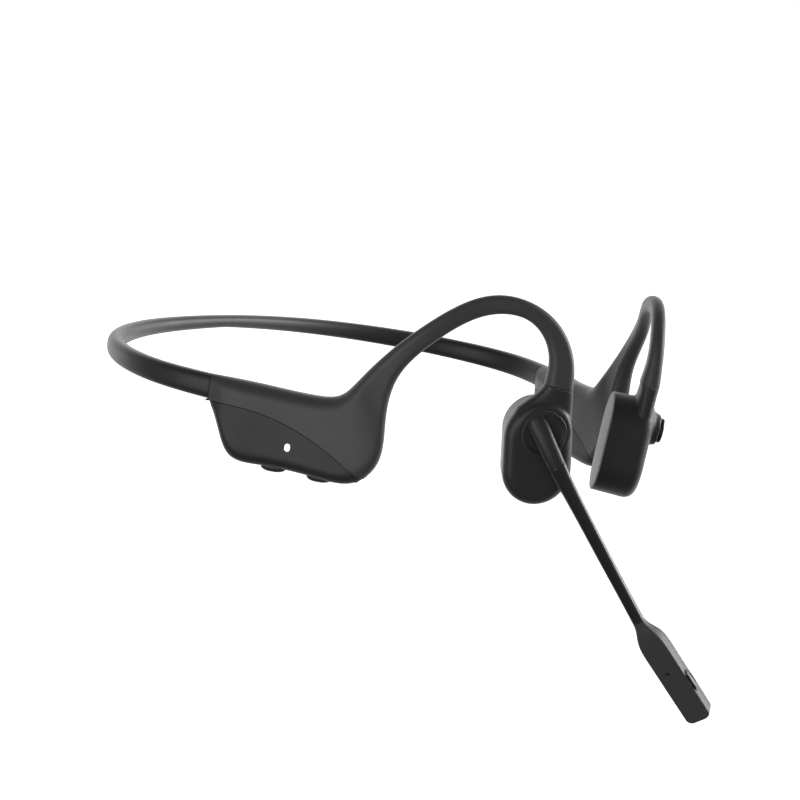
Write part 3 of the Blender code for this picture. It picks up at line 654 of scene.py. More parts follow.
class Wiring:
    """The nodes of one tree."""

    def __init__(self, tree):
        self.tree = tree

    def node(self, kind, settings, sockets, output):
        """Any node: its type, its settings, the values or links of its sockets, and the output wanted."""
        made = self.tree.nodes.new("ShaderNode" + kind)
        for key, value in settings.items():
            if key == "stops":
                ramp = made.color_ramp
                ramp.elements[0].position, ramp.elements[1].position = value
            else:
                setattr(made, key, value)
        for key, value in sockets.items():
            self.feed(made.inputs[key], value)
        return Signal(self.tree, made.outputs[output])

    def feed(self, socket, value):
        if isinstance(value, Signal):
            self.tree.links.new(value.socket, socket)
        else:
            socket.default_value = value


class Finish(Wiring):
    """A new material, its shader and its textures."""

    def __init__(self, name):
        self.material = bpy.data.materials.new(name)
        self.material.use_nodes = True
        super().__init__(self.material.node_tree)
        self.shader = self.tree.nodes["Principled BSDF"]
        self.place = self.node("TexCoord", {}, {}, "Object")

    def set(self, **values):
        for key, value in values.items():
            self.feed(self.shader.inputs[key.replace("_", " ")], value)

    def noise(self, scale, detail=3.0, roughness=0.55):
        sockets = {"Vector": self.place, "Scale": scale, "Detail": detail, "Roughness": roughness}
        return self.node("TexNoise", {}, sockets, "Fac")

    def ramp(self, signal, low, high):
        """Zero below low, one above high."""
        return self.node("ValToRGB", {"stops": (low, high)}, {"Fac": signal}, "Color")

    def mix(self, factor, dark, light):
        dark, light = ((*value, 1) if isinstance(value, tuple) else value for value in (dark, light))
        return self.node("Mix", {"data_type": "RGBA"}, {0: factor, 6: dark, 7: light}, 2)

    def bump(self, height, depth, strength=1.0):
        return self.node("Bump", {}, {"Height": height, "Distance": depth, "Strength": strength}, "Normal")


def tinted(colour, share):
    """The colour made darker or brighter by a share."""
    return tuple(min(1.0, channel * share) for channel in colour)


def moulded(name, colour, roughness, grain_scale, depth, spread=0.12, wear=1.7, coat=0.0, sheen=0.0):
    """Moulded plastic or rubber: fine grain, cloudy colour, faint handling marks, and a painted highlight
    that makes convex edges paler.
    """
    finish = Finish(name)
    grain = finish.noise(grain_scale, 2.0, 0.6)
    cloud = finish.noise(75.0, 4.0, 0.6)
    drift = finish.noise(14.0, 2.0)
    marks = finish.ramp(finish.noise(210.0, 5.0, 0.7), 0.58, 0.8)
    base = finish.mix(cloud * 0.6 + drift * 0.4, tinted(colour, 1 - spread), tinted(colour, 1 + spread))
    edge = finish.node("NewGeometry", {}, {}, "Pointiness")
    # Painted highlight: edges that pointiness finds convex are made paler in the base colour.
    painted_edge_highlight = finish.ramp(edge + (grain - 0.5) * 0.02, 0.53, 0.62) * 0.35
    finish.set(
        Base_Color=finish.mix(painted_edge_highlight, base, tinted(colour, wear)),
        Roughness=(cloud - 0.5) * 0.12 + (grain - 0.5) * 0.06 - marks * 0.05 + roughness,
        Normal=finish.bump(grain + cloud * 0.35, depth),
        Coat_Weight=coat,
        Sheen_Weight=sheen,
    )
    return finish.material


def metal(name, colour, roughness, scale):
    """Drawn or pressed metal with fine scratches and a little tarnish."""
    finish = Finish(name)
    brush = finish.noise(scale, 4.0, 0.7)
    tarnish = finish.ramp(finish.noise(260.0, 4.0), 0.45, 0.75)
    finish.set(
        Base_Color=finish.mix(tarnish * 0.5, colour, tinted(colour, 0.7)),
        Roughness=(brush - 0.5) * 0.2 + tarnish * 0.12 + roughness,
        Metallic=1.0,
        Normal=finish.bump(brush, 0.00001),
    )
    return finish.material


def winding(name, colour):
    """Enamelled wire in close turns round the coil."""
    finish = Finish(name)
    turns = finish.node(
        "TexWave", {"wave_type": "BANDS", "bands_direction": "Z"},
        {"Vector": finish.place, "Scale": 900.0, "Distortion": 0.6, "Detail": 1.0}, "Fac",
    )
    finish.set(
        Base_Color=finish.mix(turns, tinted(colour, 0.45), colour),
        Roughness=0.42 - turns * 0.12, Metallic=0.85, Normal=finish.bump(turns, 0.00004),
    )
    return finish.material


def board(name, colour):
    """Solder mask over copper tracks."""
    finish = Finish(name)
    cells = finish.node(
        "TexVoronoi", {"distance": "MANHATTAN"}, {"Vector": finish.place, "Scale": 700.0}, "Distance",
    )
    tracks = finish.ramp(cells, 0.35, 0.5)
    finish.set(
        Base_Color=finish.mix(tracks, colour, tinted(colour, 2.6)),
        Roughness=0.5 - tracks * 0.15, Normal=finish.bump(tracks, 0.00003),
    )
    return finish.material


def lens(name):
    """Milky light pipe, lit from within."""
    finish = Finish(name)
    cloud = finish.noise(900.0, 2.0)
    finish.set(
        Base_Color=finish.mix(cloud, (0.72, 0.75, 0.78), (0.92, 0.94, 0.95)),
        Roughness=0.22 + cloud * 0.1,
        Emission_Color=finish.mix(cloud, (0.86, 0.9, 0.95), (1.0, 1.0, 1.0)),
        Emission_Strength=0.75, Normal=finish.bump(cloud, 0.000004),
    )
    return finish.material


looks = {}


class HEADSET_OT_finishes(bpy.types.Operator):
    """Make every finish, and dress the inner parts of the frame in theirs"""

    bl_idname = "headset.finishes"
    bl_label = "Finishes"

    def execute(self, context):
        colours = context.scene.headset_finish
        grain = colours.grain
        sleeve, shell, cover, pad, gloss = (
            tuple(getattr(colours, key)) for key in ("sleeve", "shell", "cover", "pad", "gloss")
        )
        # In these recipes, the factor that makes convex edges paler paints a highlight on them.
        for name, make, *values, extra in (
            ("soft_touch_black", moulded, sleeve, 0.48, 5200, grain, {"sheen": 0.3}),
            ("arm_grey", moulded, shell, 0.5, 4600, grain * 1.2, {"wear": 1.5, "sheen": 0.25}),
            ("cover_black", moulded, cover, 0.5, 4600, grain, {"wear": 1.8, "sheen": 0.2}),
            ("skin_pad_grey", moulded, pad, 0.6, 3600, grain, 0.05, 1.15, {"sheen": 0.1}),
            ("gloss_black", moulded, gloss, 0.14, 2600, grain * 0.15, 0.2, 2.5, {"coat": 0.6}),
            ("boom_black", moulded, tinted(sleeve, 0.8), 0.36, 5200, grain * 0.6, {"sheen": 0.2}),
            ("button_rubber", moulded, tinted(sleeve, 0.75), 0.42, 5200, grain, {"sheen": 0.25}),
            ("seal_rubber", moulded, tinted(sleeve, 0.7), 0.65, 3000, grain, {}),
            ("white_polymer", moulded, (0.62, 0.6, 0.55), 0.5, 2500, grain, 0.06, 1.1, {}),
            ("cell_foil", moulded, (0.32, 0.34, 0.37), 0.3, 1400, grain * 1.5, 0.1, 1.3, {"coat": 0.2}),
            ("spring_alloy", metal, (0.6, 0.58, 0.56), 0.3, 2400, {}),
            ("steel", metal, (0.56, 0.56, 0.58), 0.26, 2000, {}),
            ("magnet", metal, (0.42, 0.42, 0.44), 0.34, 900, {}),
            ("gold_contact", metal, (0.86, 0.62, 0.27), 0.22, 3000, {}),
            ("copper_winding", winding, (0.72, 0.33, 0.16), {}),
            ("circuit_board", board, (0.02, 0.09, 0.05), {}),
            ("light_pipe", lens, {}),
        ):
            looks[name] = make(name, *values, **extra)
        for entry in frame["record"]["subparts"]:
            mesh = frame["nodes"][entry["node"]].data
            mesh.materials.clear()
            mesh.materials.append(looks[entry["material_slot"]])
        return {"FINISHED"}


# ---- neckband ----

class HEADSET_OT_neckband(bpy.types.Operator):
    """Build the soft sleeve of the neckband in two halves that meet behind the neck"""

    bl_idname = "headset.neckband"
    bl_label = "Neckband"

    def execute(self, context):
        shape = context.scene.headset_shape
        end = ARM_EDGES[0][0][0] - shape.seam / MM
        count = 110
        for side_name, side in SIDES.items():
            stations = [(end * i / count, 0.0) for i in range(count)]
            stations += [(end - 0.2, 0.0), (end - 0.07, 0.015), (end, shape.lip / MM)]
            stations.sort()
            builder = draw_out([self.ring(u, side, inset) for u, inset in stations])
            name = f"{side_name}_band_skin"
            made = piece(name, builder, looks["soft_touch_black"], sharp=50)
            self.bend(made, side_name, side, "soft_touch_black")
            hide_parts(f"{side_name}_neckband_sleeve")
            wire = piece(f"{side_name}_band_wire", draw_out(self.wire(side)), looks["spring_alloy"])
            self.bend(wire, side_name, side, "spring_alloy")
            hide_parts(f"{side_name}_memory_wire")
            if side == RIGHT:
                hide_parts("neckband_back_sleeve")
                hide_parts("memory_wire_back")
        return {"FINISHED"}

    def bend(self, made, side_name, side, slot):
        """Bakes the piece's placement into its mesh; the hinge and the span about it are worked out, but
        nothing flexes.
        """
        y, z = place(HINGE_U, band_height(HINGE_U), 0, side)[1:]
        near, far = (side * (HINGE_U + reach) * MM for reach in (-BAND_FLEX, BAND_FLEX))
        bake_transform(made)

    def wire(self, side, count=88):
        """Rings along the round wire in the middle of the band."""
        rings = []
        for i in range(count + 1):
            u = WIRE_END_U * i / count
            ring = superellipse(WIRE_RADIUS, WIRE_RADIUS, 2, 16)
            rings.append([place(u, band_height(u) + p, q, side) for p, q in ring])
        return rings

    def ring(self, u, side, inset):
        """One section of the sleeve, which grows taller and thicker towards the pod."""
        share = u / BAND_END_U
        tall = (BAND_TALL_MID + (BAND_TALL_END - BAND_TALL_MID) * share) / 2 - inset
        thick = (BAND_THICK_MID + (BAND_THICK_END - BAND_THICK_MID) * share) / 2 - inset
        power = 2.25 + 0.35 * share
        middle = band_height(u)
        return [place(u, middle + p, q, side) for p, q in superellipse(tall, thick, power, 40)]


# ---- arms ----

def arm_section(at):
    """Upper point, lower point and thickness of the arm at a row number, whole or between rows."""
    row = min(int(at), len(ARM_EDGES) - 2)
    share = at - row
    top = upper_edge(upper_knots[row] + share * (upper_knots[row + 1] - upper_knots[row]))
    low = lower_edge(lower_knots[row] + share * (lower_knots[row + 1] - lower_knots[row]))
    t0, t1, t2, t3 = (ARM_EDGES[max(0, min(i, len(ARM_EDGES) - 1))][2] for i in range(row - 1, row + 3))
    slope_in, slope_out = (t2 - t0) / 2, (t3 - t1) / 2
    cube, square = share**3, share**2
    thick = (2 * cube - 3 * square + 1) * t1 + (cube - 2 * square + share) * slope_in
    thick += (3 * square - 2 * cube) * t2 + (cube - square) * slope_out
    return top, low, thick


class Section:
    """Half of the arm's outline at one row, from the lower edge round the outer face to the upper edge."""

    def __init__(self, at):
        top, low, thick = arm_section(at)
        self.middle, across = (top + low) / 2, (top - low) / 2
        self.half = float(np.hypot(*across))
        self.across = across / self.half
        upper, lower = min(TOP_RADIUS, thick * ROUND_SHARE), min(LOWER_RADIUS, thick * ROUND_SHARE)
        points = [(-self.half, 0.0)]
        for corner, sign, start in ((lower, -1, math.pi), (upper, 1, math.pi / 2)):
            for step in range(17):
                angle = start - math.pi / 2 * step / 16
                points.append((
                    sign * (self.half - corner) + corner * math.cos(angle),
                    thick / 2 - corner + corner * math.sin(angle),
                ))
        points.append((self.half, 0.0))
        self.points = np.array(points)
        lengths = np.linalg.norm(np.diff(self.points, axis=0), axis=1)
        self.run = np.concatenate([[0], np.cumsum(lengths)])
        self.length = self.run[-1]

    def at(self, run, sink=0.0):
        """The point at a distance along the outline, sunk below the surface."""
        (p, q), (p0, q0), (p1, q1) = (
            [np.interp(there, self.run, self.points[:, i]) for i in (0, 1)]
            for there in (run, run - PROBE, run + PROBE)
        )
        size = math.hypot(p1 - p0, q1 - q0)
        return p + sink * (q1 - q0) / size, q - sink * (p1 - p0) / size

    def pattern(self, p, q):
        """A point of the section on the flat pattern."""
        u, v = self.middle + self.across * p
        return u, v, q

    def seam_run(self, shift):
        """Where the outline crosses the seam line moved up by shift, or zero where it doesn't."""
        before = None
        for run in np.linspace(0, self.length, SEAM_PROBES):
            u, v, _ = self.pattern(*self.at(run))
            gap = v - seam_height(u) - shift
            if gap >= 0:
                if before is None:
                    return 0.0
                last, last_gap = before
                return last + (run - last) * last_gap / (last_gap - gap)
            before = run, gap
        return 0.0


def strip(section, side, start, stop, count, lips, end_sink):
    """Points from start to stop along the outer side, then back along the inner side.

    A strip that starts at the seam has a rounded lip there, sunk by lips. All of it is sunk by end_sink.
    """
    runs = [start + (stop - start) * i / count for i in range(count + 1)]
    sinks = [0.0] * len(runs)
    if start > 0 and abs(stop - start) > 1.0:
        way = math.copysign(1, stop - start)
        runs[1:1] = [start + way * LIP_NEAR, start + way * LIP_FAR]
        sinks[0:1] = [lips, lips * LIP_SHARE, 0.0]
    else:
        runs[1:1] = [start, start]
        sinks[0:1] = [0.0, 0.0, 0.0]
    outer = [section.at(run, sink + end_sink) for run, sink in zip(runs, sinks)]
    points = [section.pattern(p, q) for p, q in outer]
    points += [section.pattern(p, -q) for p, q in reversed(outer[:-1])]
    return [place(u, v, w, side) for u, v, w in points]


def seam_end(low, high):
    """The row number between low and high where the seam meets the lower edge."""
    def above(at):
        u, v = arm_section(at)[1]
        return v >= seam_height(u)

    start = above(low)
    for _ in range(40):
        middle = (low + high) / 2
        low, high = (middle, high) if above(middle) == start else (low, middle)
    return low


def arm_stations(per_row):
    """Row numbers for the sections, close together where the seam meets the lower edge in front."""
    front = seam_end(4.5, 7.0)
    stations = {i / per_row for i in range((len(ARM_EDGES) - 1) * per_row + 1)}
    stations.update(front - step for step in SEAM_END_STEPS)
    return sorted(stations), front


class HEADSET_OT_arm_shells(bpy.types.Operator):
    """Build each arm's grey shell, from the band's end over the ear to the transducer"""

    bl_idname = "headset.arm_shells"
    bl_label = "Arm shells"

    def execute(self, context):
        shape = context.scene.headset_shape
        lip, shift = shape.lip / MM, shape.seam / MM / 2
        last = len(ARM_EDGES) - 1
        stations = [(0.0, lip), (0.015, lip * 0.25), (0.04, 0.0)]
        rows, front = arm_stations(shape.arm_rows)
        stations += [(at, 0.0) for at in rows[1:-1]]
        stations.sort()
        stations += [(last - 0.03, 0.0), (last - 0.01, lip * 0.25), (last, lip)]
        for side_name, side in SIDES.items():
            rings = []
            for at, end_sink in stations:
                section = Section(at)
                seam = section.seam_run(shift) if at < front else 0.0
                rings.append(strip(section, side, seam, section.length, 26, lip, end_sink))
            made = skin(f"{side_name}_arm", rings, side, shape.wall)
            settle(made, looks["arm_grey"])
            attach(made, f"{side_name}_arm", "arm_grey", f"{side_name}_arm_shell")
        return {"FINISHED"}


class HEADSET_OT_pod_covers(bpy.types.Operator):
    """Build the darker covers below the seam, with the openings of the right one"""

    bl_idname = "headset.pod_covers"
    bl_label = "Pod covers"

    def execute(self, context):
        shape = context.scene.headset_shape
        lip, shift = shape.lip / MM, shape.seam / MM / 2
        rows, front = arm_stations(shape.arm_rows)
        for side_name, side in SIDES.items():
            rings = []
            for at in rows:
                section = Section(at)
                seam = section.seam_run(-shift) if at < front else 0.0
                if seam > LEAST_COVER:
                    rings.append(strip(section, side, seam, 0.0, 22, lip, 0.0))
            made = skin(f"{side_name}_cover", rings, side, shape.wall)
            if side == RIGHT:
                self.cut_openings(made)
            settle(made, looks["cover_black"])
            attach(made, f"{side_name}_arm", "cover_black", f"{side_name}_pod_cover")
        return {"FINISHED"}

    def cut_openings(self, made, gap=0.35):
        """Cuts the openings of the volume buttons, with a gap round each, of the light and of the port."""
        for u, v in VOLUME_BUTTONS.values():
            carved(made, extruded(oval(VOLUME_LONG + gap, VOLUME_SHORT + gap), -4, 3, key_frame(u, v)))
        carved(made, extruded(oval(2.02, 1.47), -3, 2, light_frame()))
        carved(made, extruded(oval(8.3, 4.3), -3, 2, port_frame()))


def key_frame(u, v):
    """A volume button's frame: X along the pod and Z down, out of its lower edge."""
    return turned(frame_at(u, v, 0, RIGHT), math.pi / 2, "X")


def light_frame():
    """On the pod's outer face, X upwards."""
    return turned(frame_at(*LIGHT_AT, POD_FACE, RIGHT), math.pi / 2)


def port_frame():
    """On the pod's inner face, Z towards the head."""
    return turned(frame_at(*PORT_AT, -POD_FACE, RIGHT), math.pi, "X")


class HEADSET_OT_pod_details(bpy.types.Operator):
    """Build the volume buttons, the status light and the charging port of the right pod"""

    bl_idname = "headset.pod_details"
    bl_label = "Pod details"

    def execute(self, context):
        for name, (u, v) in VOLUME_BUTTONS.items():
            outline = oval(VOLUME_LONG, VOLUME_SHORT, 16)
            builder = domed(outline, -2.3, -0.35, VOLUME_PROUD, key_frame(u, v), 14)
            made = piece(f"{name}_key", builder, looks["button_rubber"])
            attach(made, name, "button_rubber", f"{name}_button")
        window = domed(oval(1.9, 1.35), -2.4, -0.02, 0.12, light_frame())
        made = piece("status_light", window, looks["light_pipe"])
        attach(made, "right_arm", "light_pipe", "status_light_pipe")
        plate = extruded(oval(8.0, 4.0, 18), -2.0, -0.1, port_frame(), 0.25)
        seat = piece("charge_seat", plate, looks["gloss_black"])
        for i, reach in enumerate((-1.9, 1.9)):
            pin = shifted(port_frame(), reach, 0, 0)
            carved(seat, spun(PIN_WELL, pin, 40))
            contact = piece(f"charge_contact_{i + 1}", spun(PIN, pin, 36), looks["gold_contact"])
            attach(contact, "right_arm", "gold_contact", f"charging_pin_{i + 1}")
        settle(seat, looks["gloss_black"])
        attach(seat, "right_arm", "gloss_black", "charging_port")
        return {"FINISHED"}


# ---- transducers ----

def neck_rings(base):
    """Soft rectangles down the neck, from the hook into the body."""
    rings = []
    for (back_a, back_b), (front_a, front_b), middle, half in NECK_ROWS:
        centre = Vector(((back_a + front_a) / 2, (back_b + front_b) / 2, middle))
        across = Vector(((front_a - back_a) / 2, (front_b - back_b) / 2, 0))
        ring = []
        for p, q in superellipse(1.0, half, 3.0, 40):
            ring.append(base @ ((centre + across * p + Vector((0, 0, q))) * MM))
        rings.append(ring)
    return rings


class HEADSET_OT_transducers(bpy.types.Operator):
    """Build both transducer bodies with their necks, and the pads that touch the skin"""

    bl_idname = "headset.transducers"
    bl_label = "Transducers"

    def execute(self, context):
        shape = context.scene.headset_shape
        for side_name, side in SIDES.items():
            base = unit_frame(side)
            body = self.body(side_name, side, base, shape)
            arm = f"{side_name}_arm"
            attach(body, arm, "soft_touch_black", f"{side_name}_transducer_shell")
            pad = self.pad(side_name, base)
            attach(pad, arm, "skin_pad_grey", f"{side_name}_contact_pad")
        return {"FINISHED"}

    def body(self, side_name, side, base, shape):
        """The body, neck and boss melted together, cut flat at the hook, shoulder and pad, and hollow."""
        levels = [(UNIT_SPLIT - 1.4, 0), (-4, 0), (UNIT_FACE - FACE_ROUND, 0)]
        levels += [(UNIT_FACE - depth, -inset) for inset, depth in quarter_round(FACE_ROUND, 8)[1:]]
        solids = [draw_out(levels_to_rings(levels, base)), draw_out(neck_rings(base))]
        disc = disc_frame(side, UNIT_FACE)
        solids.append(spun(BUTTON_BOSS if side == LEFT else PIVOT_BOSS, disc, 64))
        made = melted(f"{side_name}_transducer", solids, shape.blend_voxel, shape.blend_rounds)
        carved(made, slab((40, 40, 6), (0, 0, UNIT_SPLIT - 3), base))
        carved(made, slab((24, 8, 12), (4, 4, 0), line_frame(base, NECK_TOP_ENDS)))
        shoulder = line_frame(base, SHOULDER_ENDS)
        carved(made, slab((23, 12, 9), (3.6, 6, SHOULDER_TOP - 4.5), shoulder))
        hollow = [(UNIT_SPLIT - 1, -UNIT_WALL), (UNIT_FACE - UNIT_WALL - 0.6, -UNIT_WALL - 0.8)]
        carved(made, draw_out(levels_to_rings(hollow, base)))
        if side == LEFT:
            well = BUTTON_RADIUS + 0.14
            carved(made, spun([(0, -2.2), (well, -2.2), (well, 4), (0, 4)], disc))
        else:
            carved(made, spun(PIVOT_WELL, disc_frame(side, PIVOT_FLOOR), 96))
        return settle(made, looks["soft_touch_black"], 42)

    def pad(self, side_name, base):
        """The pad with the brow that fills the cut shoulder."""
        levels = [(UNIT_PAD + depth, -inset) for inset, depth in reversed(quarter_round(0.3, 5))]
        levels.append((UNIT_SPLIT - 0.03, 0))
        solid = draw_out(levels_to_rings(levels, base))
        made = piece(f"{side_name}_pad", solid)
        brow_levels = [(UNIT_SPLIT - 0.2, -0.04), (SHOULDER_TOP - 0.06, -0.04)]
        brow = piece("brow", draw_out(levels_to_rings(brow_levels, base)))
        keep = slab((22.4, 12, 12), (3.6, 6.08, SHOULDER_TOP - 6), line_frame(base, SHOULDER_ENDS))
        carved(brow, keep, "INTERSECT")
        tool = bmesh.new()
        tool.from_mesh(brow.data)
        bpy.data.objects.remove(brow, do_unlink=True)
        carved(made, tool, "UNION")
        return settle(made, looks["skin_pad_grey"], 42)


class HEADSET_OT_call_button(bpy.types.Operator):
    """Build the polished multifunction button of the left transducer"""

    bl_idname = "headset.call_button"
    bl_label = "Multifunction button"

    def execute(self, context):
        rim, top, edge = BUTTON_RADIUS, 3.1, 0.45
        profile = [(0, -1.2), (rim, -1.2), (rim, top - edge)]
        profile += [(rim - inset, top - depth) for inset, depth in quarter_round(edge, 7)[1:]]
        profile += [(rim * 0.6, top - 0.06), (rim * 0.3, top - 0.12), (0, top - 0.14)]
        made = piece("call_button", spun(profile, disc_frame(LEFT, UNIT_FACE), 96), looks["gloss_black"])
        attach(made, "multifunction", "gloss_black", "multifunction_button")
        return {"FINISHED"}


# ---- boom microphone ----

def smooth_rows(rows, count):
    """Rows of numbers resampled along a cubic curve through them."""
    line, knots = spline(rows)
    return [line(knots[-1] * i / count) for i in range(count + 1)]


def boom_rings(rows, base, power, turn=None, points=44):
    """Sections across the boom as soft rectangles, each rolled by turn(x)."""
    rings = []
    for x, y, n, wide, deep in rows:
        roll = Matrix.Rotation(turn(x) if turn else 0.0, 3, "X")
        centre = Vector((x, y, n))
        section = superellipse(wide, deep, power, points)
        rings.append([base @ ((centre + roll @ Vector((0, p, q))) * MM) for p, q in section])
    return rings


def stalk_turn(x):
    """How far the stalk's section has rolled at x on its way to the head."""
    return BOOM_TWIST * min(1.0, max(0.0, (x - 12) / 40))


class HEADSET_OT_boom(bpy.types.Operator):
    """Build the pivoting disc with its elbow, and the stalk"""

    bl_idname = "headset.boom"
    bl_label = "Boom"

    def execute(self, context):
        disc = spun(BOOM_DISC, disc_frame(RIGHT, PIVOT_FLOOR), 128)
        hub = piece("boom_disc", disc, looks["soft_touch_black"])
        elbow = boom_rings(smooth_rows(ELBOW, 46), boom_frame(), 2.25)
        carved(hub, draw_out(elbow), "UNION")
        settle(hub, looks["soft_touch_black"], 34)
        attach(hub, "boom", "soft_touch_black", "boom_hub")

        lip = context.scene.headset_shape.lip / MM
        rows = [np.array(row) for row in smooth_rows(STALK, 70)]
        rows[0] = rows[0] + (0, 0, 0, -lip, -lip)
        rows.insert(1, rows[0] + (0.12, 0, 0, lip, lip))
        rings = boom_rings(rows, boom_frame(), 2.5, stalk_turn)
        stalk = piece("boom_sleeve", draw_out(rings), looks["boom_black"])
        attach(stalk, "boom", "boom_black", "boom_stalk")
        return {"FINISHED"}


def head_rows():
    """(x, half width, half depth) along the head, its end corners rounded in plan."""
    rows = [tuple(row) for row in smooth_rows(HEAD, 60)]
    last_wide, last_deep = HEAD[-1][1:]
    for inset, depth in quarter_round(HEAD_CORNER, 8)[1:]:
        rows.append((HEAD_END - depth, last_wide - inset, last_deep - inset * 0.12))
    inner = rows[-1]
    rows.append((HEAD_END + 0.03, inner[1] - 0.4, inner[2] - 0.4))
    return rows


class HEADSET_OT_mic_head(bpy.types.Operator):
    """Build the microphone head's two halves, its mute button and its sound opening"""

    bl_idname = "headset.mic_head"
    bl_label = "Microphone head"

    def execute(self, context):
        head = head_frame()
        gap = context.scene.headset_shape.seam / MM / 2
        rings = []
        for x, wide, deep in head_rows():
            corner = HEAD_EDGE + max(0.0, 1.2 - HEAD_EDGE) * max(0.0, 1 - x / 8.0)
            sink = max(0.0, deep - 1.9)
            rings.append([spot(head, x, p, q - sink) for p, q in rounded_ring(wide, deep, corner, 7)])
        for name, node, low, high in (
            ("mic_face", "mic_head_shell", HEAD_SPLIT + gap, 5.0),
            ("mic_back", "mic_head_cover", -5.0, HEAD_SPLIT - gap),
        ):
            made = piece(name, draw_out(rings))
            keep = slab((50, 16, high - low), (17, 0, (low + high) / 2), head)
            carved(made, keep, "INTERSECT")
            carved(made, slab((21, 4.6, 2.4), (19, -0.3, 0), head))
            if node == "mic_head_shell":
                hole = turned(shifted(head, MIC_HOLE_X, -0.4, 0), math.radians(62))
                carved(made, extruded(oval(1.4, 0.75), 0.5, 4, hole))
                carved(made, extruded(oval(MUTE_LONG + 0.3, MUTE_TALL + 0.3), -2.2, 2, self.mute_frame()))
            settle(made, looks["arm_grey"], 30)
            attach(made, "boom", "arm_grey", node)
        cap = bowed(oval(MUTE_LONG, MUTE_TALL, 16), -0.9, MUTE_PROUD, self.mute_frame())
        mute = piece("mute_key", cap, looks["button_rubber"])
        attach(mute, "mute", "button_rubber", "mute_button")
        return {"FINISHED"}

    def mute_frame(self):
        """On the head's edge, Z out of it."""
        return turned(shifted(head_frame(), MUTE_X, 3.25, 0.3), -math.pi / 2, "X")


# ---- stage ----

VIEW_RIGHT = Vector((0.5878, -0.7967, 0.1405))
VIEW_UP = Vector((0.0212, 0.1887, 0.9818))
VIEW_BACK = Vector((-0.8087, -0.5741, 0.1278))
CAMERA_AT = Vector((-755.03, -484.98, 85.67)) * MM


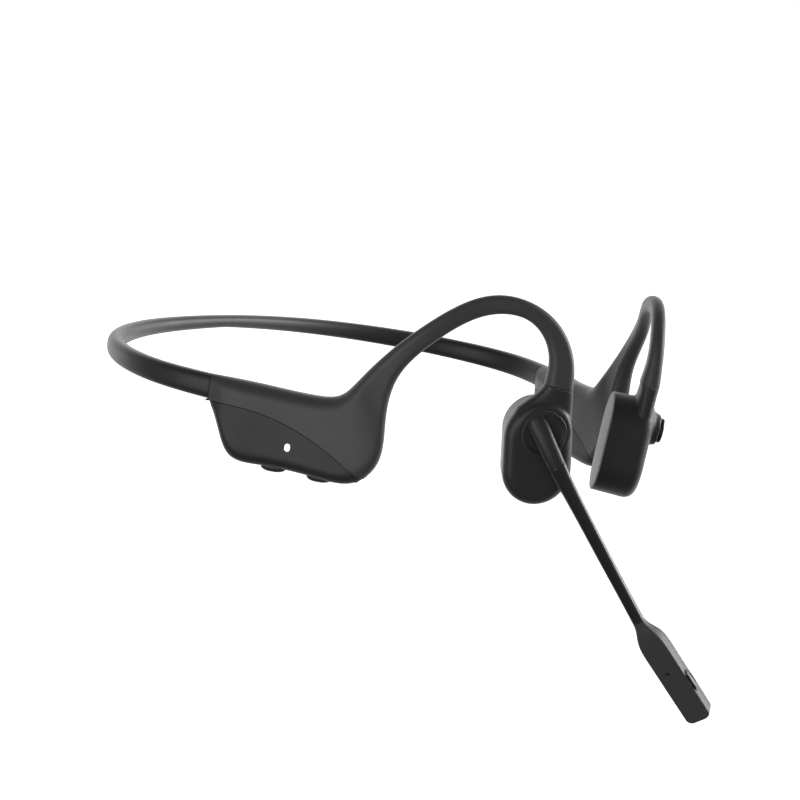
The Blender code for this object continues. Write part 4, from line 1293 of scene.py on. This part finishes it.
class HEADSET_OT_stage(bpy.types.Operator):
    """Lay the pale floor, hang the soft lamps and set the camera"""

    bl_idname = "headset.stage"
    bl_label = "Stage"

    def execute(self, context):
        studio = context.scene.headset_studio
        self.floor()
        self.sky(context.scene)
        self.lamps(context.scene, studio)
        data = bpy.data.cameras.new("camera")
        data.lens, data.sensor_width = studio.lens, 36.0
        data.clip_start, data.clip_end = 0.05, 50.0
        camera = bpy.data.objects.new("camera", data)
        camera.matrix_world = Matrix.Translation(CAMERA_AT) @ Matrix(
            (VIEW_RIGHT, VIEW_UP, VIEW_BACK)
        ).transposed().to_4x4()
        context.scene.collection.objects.link(camera)
        context.scene.camera = camera
        context.scene.view_settings.view_transform = "Standard"
        return {"FINISHED"}

    def floor(self):
        """A pale floor that the headset floats over, left out of its reflections."""
        builder = bmesh.new()
        bmesh.ops.create_grid(builder, x_segments=2, y_segments=2, size=14)
        bmesh.ops.translate(builder, vec=(0, 0, -0.42), verts=builder.verts)
        finish = Finish("pale_floor")
        cloud = finish.noise(3.0, 2.0)
        white = finish.mix(cloud, (0.93, 0.93, 0.93), (0.96, 0.96, 0.96))
        finish.set(Base_Color=white, Roughness=0.9, Emission_Color=white, Emission_Strength=1.05)
        floor = piece("floor", builder, finish.material)
        floor.visible_diffuse = floor.visible_glossy = False

    def sky(self, scene):
        """White to the camera. To the headset: bright behind it, dim in front and overhead."""
        world = bpy.data.worlds.new("studio")
        world.use_nodes = True
        world.node_tree.nodes.clear()
        wires = Wiring(world.node_tree)
        along = wires.node("TexCoord", {}, {}, "Generated")
        front = wires.node("VectorMath", {"operation": "DOT_PRODUCT"}, {0: along, 1: VIEW_BACK}, "Value")
        rise = wires.node("SeparateXYZ", {}, {"Vector": along}, "Z")
        light = []
        for value, start, end, low, high in (
            (front, -0.25, -0.95, 0.32, 2.2), (rise, 0.85, 0.25, 0.4, 1.0), (rise, -0.9, -0.2, 0.3, 1.0),
        ):
            sockets = {"Value": value, "From Min": start, "From Max": end, "To Min": low, "To Max": high}
            light.append(wires.node("MapRange", {"interpolation_type": "SMOOTHSTEP"}, sockets, "Result"))
        behind, above, below = light
        lit = wires.node("Background", {}, {"Strength": behind * above * below}, "Background")
        seen = wires.node("Background", {}, {"Color": (1, 1, 1, 1)}, "Background")
        straight = wires.node("LightPath", {}, {}, "Is Camera Ray")
        both = wires.node("MixShader", {}, {0: straight, 1: lit, 2: seen}, "Shader")
        out = world.node_tree.nodes.new("ShaderNodeOutputWorld")
        wires.feed(out.inputs["Surface"], both)
        scene.world = world

    def lamps(self, scene, studio):
        """Square soft lamps that look at the headset and stay out of the picture."""
        aim = Vector((0, 0.04, -0.03))
        for name, offset, size, power in (
            ("key", Vector((-0.9, -0.2, -0.1)), 0.6, studio.key),
            ("front", VIEW_BACK * 0.9 - VIEW_RIGHT * 0.35 + VIEW_UP * 0.25, 0.3, studio.key * 0.5),
            ("rim_right", VIEW_RIGHT * 0.95 - VIEW_BACK * 0.35 + VIEW_UP * 0.2, 0.5, studio.rim * 2.6),
            ("rim_left", VIEW_RIGHT * -0.9 - VIEW_BACK * 0.6 + VIEW_UP * 0.2, 0.5, studio.rim * 0.3),
        ):
            data = bpy.data.lights.new(name, "AREA")
            data.shape, data.size, data.energy = "SQUARE", size, power
            lamp = bpy.data.objects.new(name, data)
            lamp.location = aim + offset
            lamp.rotation_mode = "QUATERNION"
            lamp.rotation_quaternion = offset.to_track_quat("Z", "Y")
            lamp.visible_camera = False
            scene.collection.objects.link(lamp)


class HEADSET_PT_panel(bpy.types.Panel):
    """Sizes, colours and builders of the headset"""

    bl_idname = "HEADSET_PT_panel"
    bl_label = "Headset"
    bl_space_type = "VIEW_3D"
    bl_region_type = "UI"
    bl_category = "Headset"

    def draw(self, context):
        layout = self.layout
        for name in SETTINGS:
            group = getattr(context.scene, name)
            box = layout.box()
            for key in group.__annotations__:
                box.prop(group, key)
        for operator in BUILDERS:
            layout.operator(operator.bl_idname)


BUILDERS = (
    HEADSET_OT_finishes, HEADSET_OT_neckband, HEADSET_OT_arm_shells, HEADSET_OT_pod_covers,
    HEADSET_OT_pod_details, HEADSET_OT_transducers, HEADSET_OT_call_button, HEADSET_OT_boom,
    HEADSET_OT_mic_head, HEADSET_OT_stage,
)
SETTINGS = {"headset_shape": HeadsetShape, "headset_finish": HeadsetFinish, "headset_studio": HeadsetStudio}


def register():
    for entry in (*SETTINGS.values(), *BUILDERS, HEADSET_PT_panel):
        bpy.utils.register_class(entry)
    for name, group in SETTINGS.items():
        setattr(bpy.types.Scene, name, PointerProperty(type=group))


def unregister():
    for name in SETTINGS:
        delattr(bpy.types.Scene, name)
    for entry in (HEADSET_PT_panel, *reversed(BUILDERS), *SETTINGS.values()):
        bpy.utils.unregister_class(entry)


def clear_start_objects():
    """Removes the objects that a new file opens with."""
    kept = set(frame["nodes"].values()) | set(frame["bodies"].values())
    for thing in list(bpy.data.objects):
        if thing not in kept:
            bpy.data.objects.remove(thing, do_unlink=True)


def main():
    clear_start_objects()
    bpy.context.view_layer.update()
    register()
    for operator in BUILDERS:
        group, name = operator.bl_idname.split(".")
        getattr(getattr(bpy.ops, group), name)()


if __name__ == "__main__":
    main()
